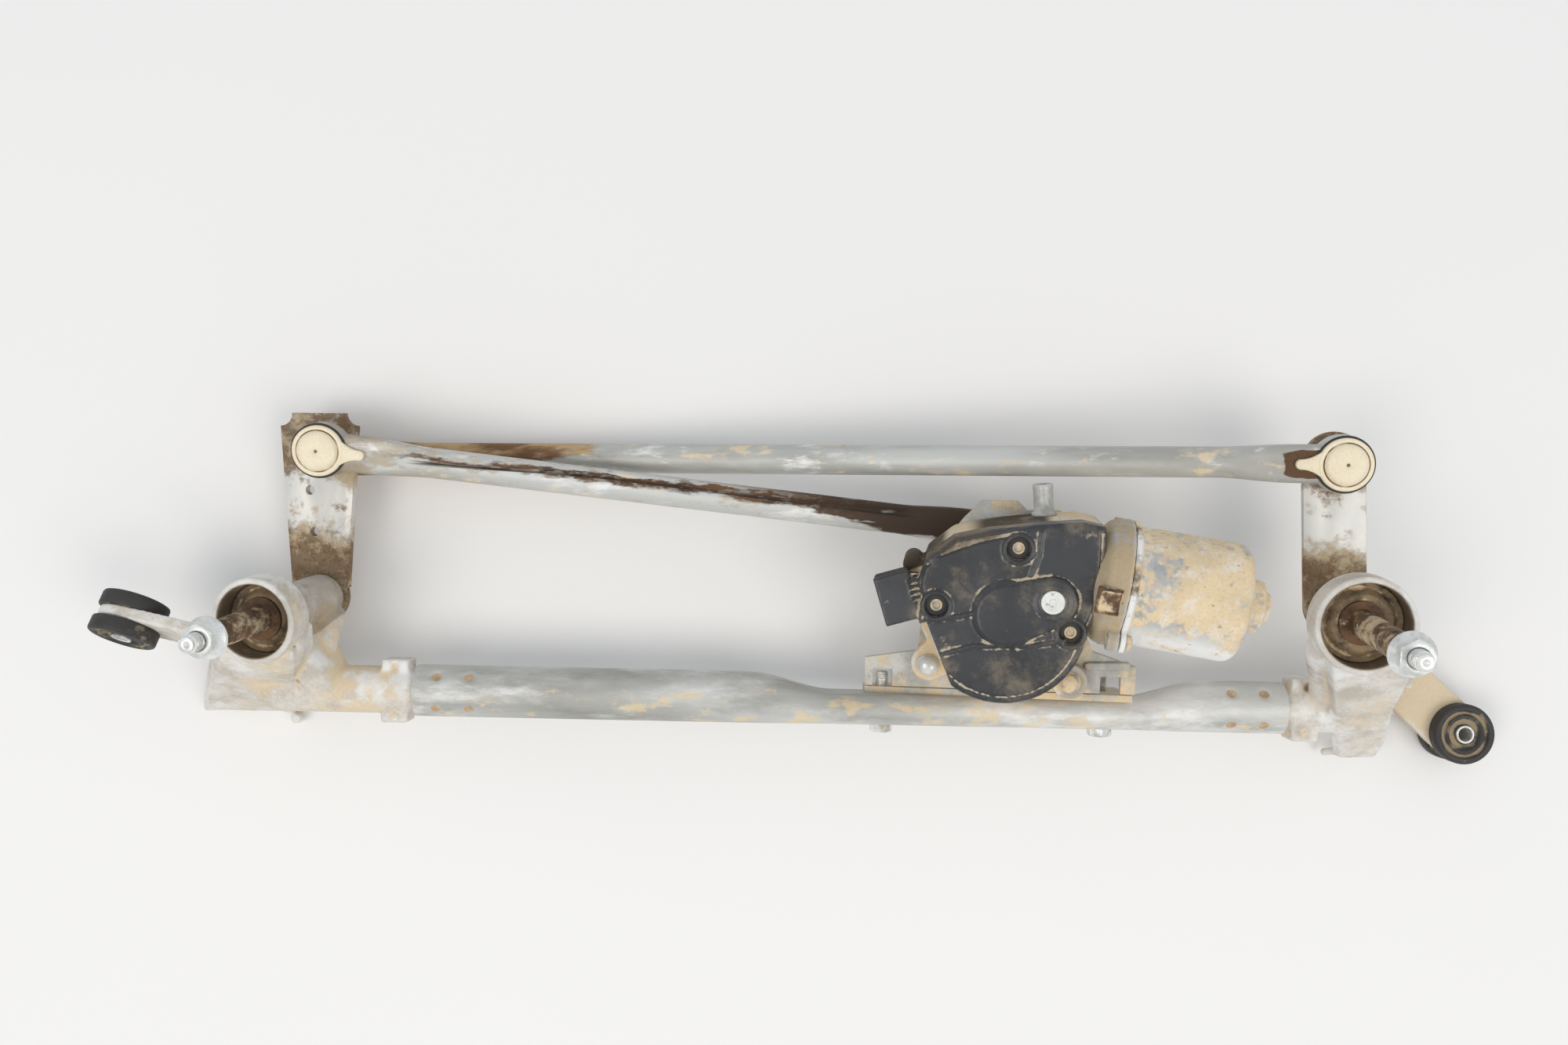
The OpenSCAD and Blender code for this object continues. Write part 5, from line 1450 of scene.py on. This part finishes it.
class WIPER_OT_insides(Maker, bpy.types.Operator):
    """Finishes of the pieces inside the motor and the bearings"""

    bl_idname = "wiper.insides"
    bl_label = "Inside pieces"

    def make(self):
        paint("bronze", "left_shaft_bush", "right_shaft_bush", "output_bush")
        paint("bronze", "front_bearing", "rear_bearing")
        paint("dark_steel", "field_magnets", "armature_core", "brushes")
        paint("copper", "windings", "commutator")
        paint("clean_steel", "armature_shaft")
        paint("white_plastic", "worm_wheel")
        paint("cover_plastic", "brush_holder")


class WIPER_OT_stage(Maker, bpy.types.Operator):
    """Pale table, soft light and the camera above"""

    bl_idname = "wiper.stage"
    bl_label = "Stage"

    def make(self):
        scene = bpy.context.scene
        look = scene.wiper_stage
        low, half = CAD_BOX[0][2] - TABLE_GAP, TABLE_HALF
        corners = [(-half, -half, low), (half, -half, low), (half, half, low), (-half, half, low)]
        mesh = bpy.data.meshes.new("table")
        mesh.from_pydata(corners, [], [(0, 1, 2, 3)])
        mesh.materials.append(finish("pale_table"))
        table = bpy.data.objects.new("table", mesh)
        scene.collection.objects.link(table)
        world = bpy.data.worlds.new("studio")
        world.use_nodes = True
        back = world.node_tree.nodes["Background"]
        back.inputs["Color"].default_value = (*COOL_LIGHT, 1)
        back.inputs["Strength"].default_value = look.sky
        scene.world = world
        for name, spot, power in (
            ("left_lamp", Vector((-1.3, -0.45, 1.75)), look.key),
            ("right_lamp", Vector((0.6, -0.5, 1.75)), look.key * 0.95),
        ):
            lamp = bpy.data.lights.new(name, "AREA")
            lamp.shape, lamp.size, lamp.energy = "DISK", LAMP_WIDTH, power
            lamp.color = WARM_LIGHT
            obj = bpy.data.objects.new(name, lamp)
            obj.location = spot
            obj.rotation_euler = (LIT_SPOT - spot).to_track_quat("-Z", "Y").to_euler()
            scene.collection.objects.link(obj)
        lens = bpy.data.cameras.new("camera")
        lens.sensor_width, lens.sensor_fit, lens.lens = 36.0, "HORIZONTAL", look.lens
        lens.clip_start = 0.01
        eye = bpy.data.objects.new("camera", lens)
        eye.location = (*CAMERA_AT, look.height)
        eye.rotation_euler = (0, 0, radians(CAMERA_TURN))
        scene.collection.objects.link(eye)
        scene.camera = eye
        scene.view_settings.view_transform = "Standard"


MAKERS = (
    WIPER_OT_tube, WIPER_OT_rods, WIPER_OT_sockets, WIPER_OT_housings, WIPER_OT_seals, WIPER_OT_shafts,
    WIPER_OT_levers, WIPER_OT_bushes, WIPER_OT_bracket, WIPER_OT_gearbox, WIPER_OT_cover,
    WIPER_OT_fasteners, WIPER_OT_yoke, WIPER_OT_crank, WIPER_OT_insides, WIPER_OT_stage,
)


class WIPER_PT_panel(bpy.types.Panel):
    """Lists the pieces and their settings"""

    bl_idname = "WIPER_PT_panel"
    bl_label = "Wiper linkage"
    bl_space_type = "VIEW_3D"
    bl_region_type = "UI"
    bl_category = "Wiper"

    def draw(self, context):
        for maker in MAKERS:
            self.layout.operator(maker.bl_idname)
        for group in (context.scene.wiper_sizes, context.scene.wiper_tints, context.scene.wiper_stage):
            box = self.layout.box()
            for name in group.__annotations__:
                box.prop(group, name)


GROUPS = (("wiper_sizes", WiperSizes), ("wiper_tints", WiperTints), ("wiper_stage", WiperStage))
CLASSES = tuple(group for _, group in GROUPS) + MAKERS + (WIPER_PT_panel,)


def register():
    for one in CLASSES:
        bpy.utils.register_class(one)
    for name, group in GROUPS:
        setattr(bpy.types.Scene, name, PointerProperty(type=group))


def unregister():
    for name, _ in GROUPS:
        delattr(bpy.types.Scene, name)
    for one in reversed(CLASSES):
        bpy.utils.unregister_class(one)


def main():
    register()
    for maker in MAKERS:
        family, action = maker.bl_idname.split(".")
        getattr(getattr(bpy.ops, family), action)()
    bpy.context.view_layer.update()


if __name__ == "__main__":
    main()
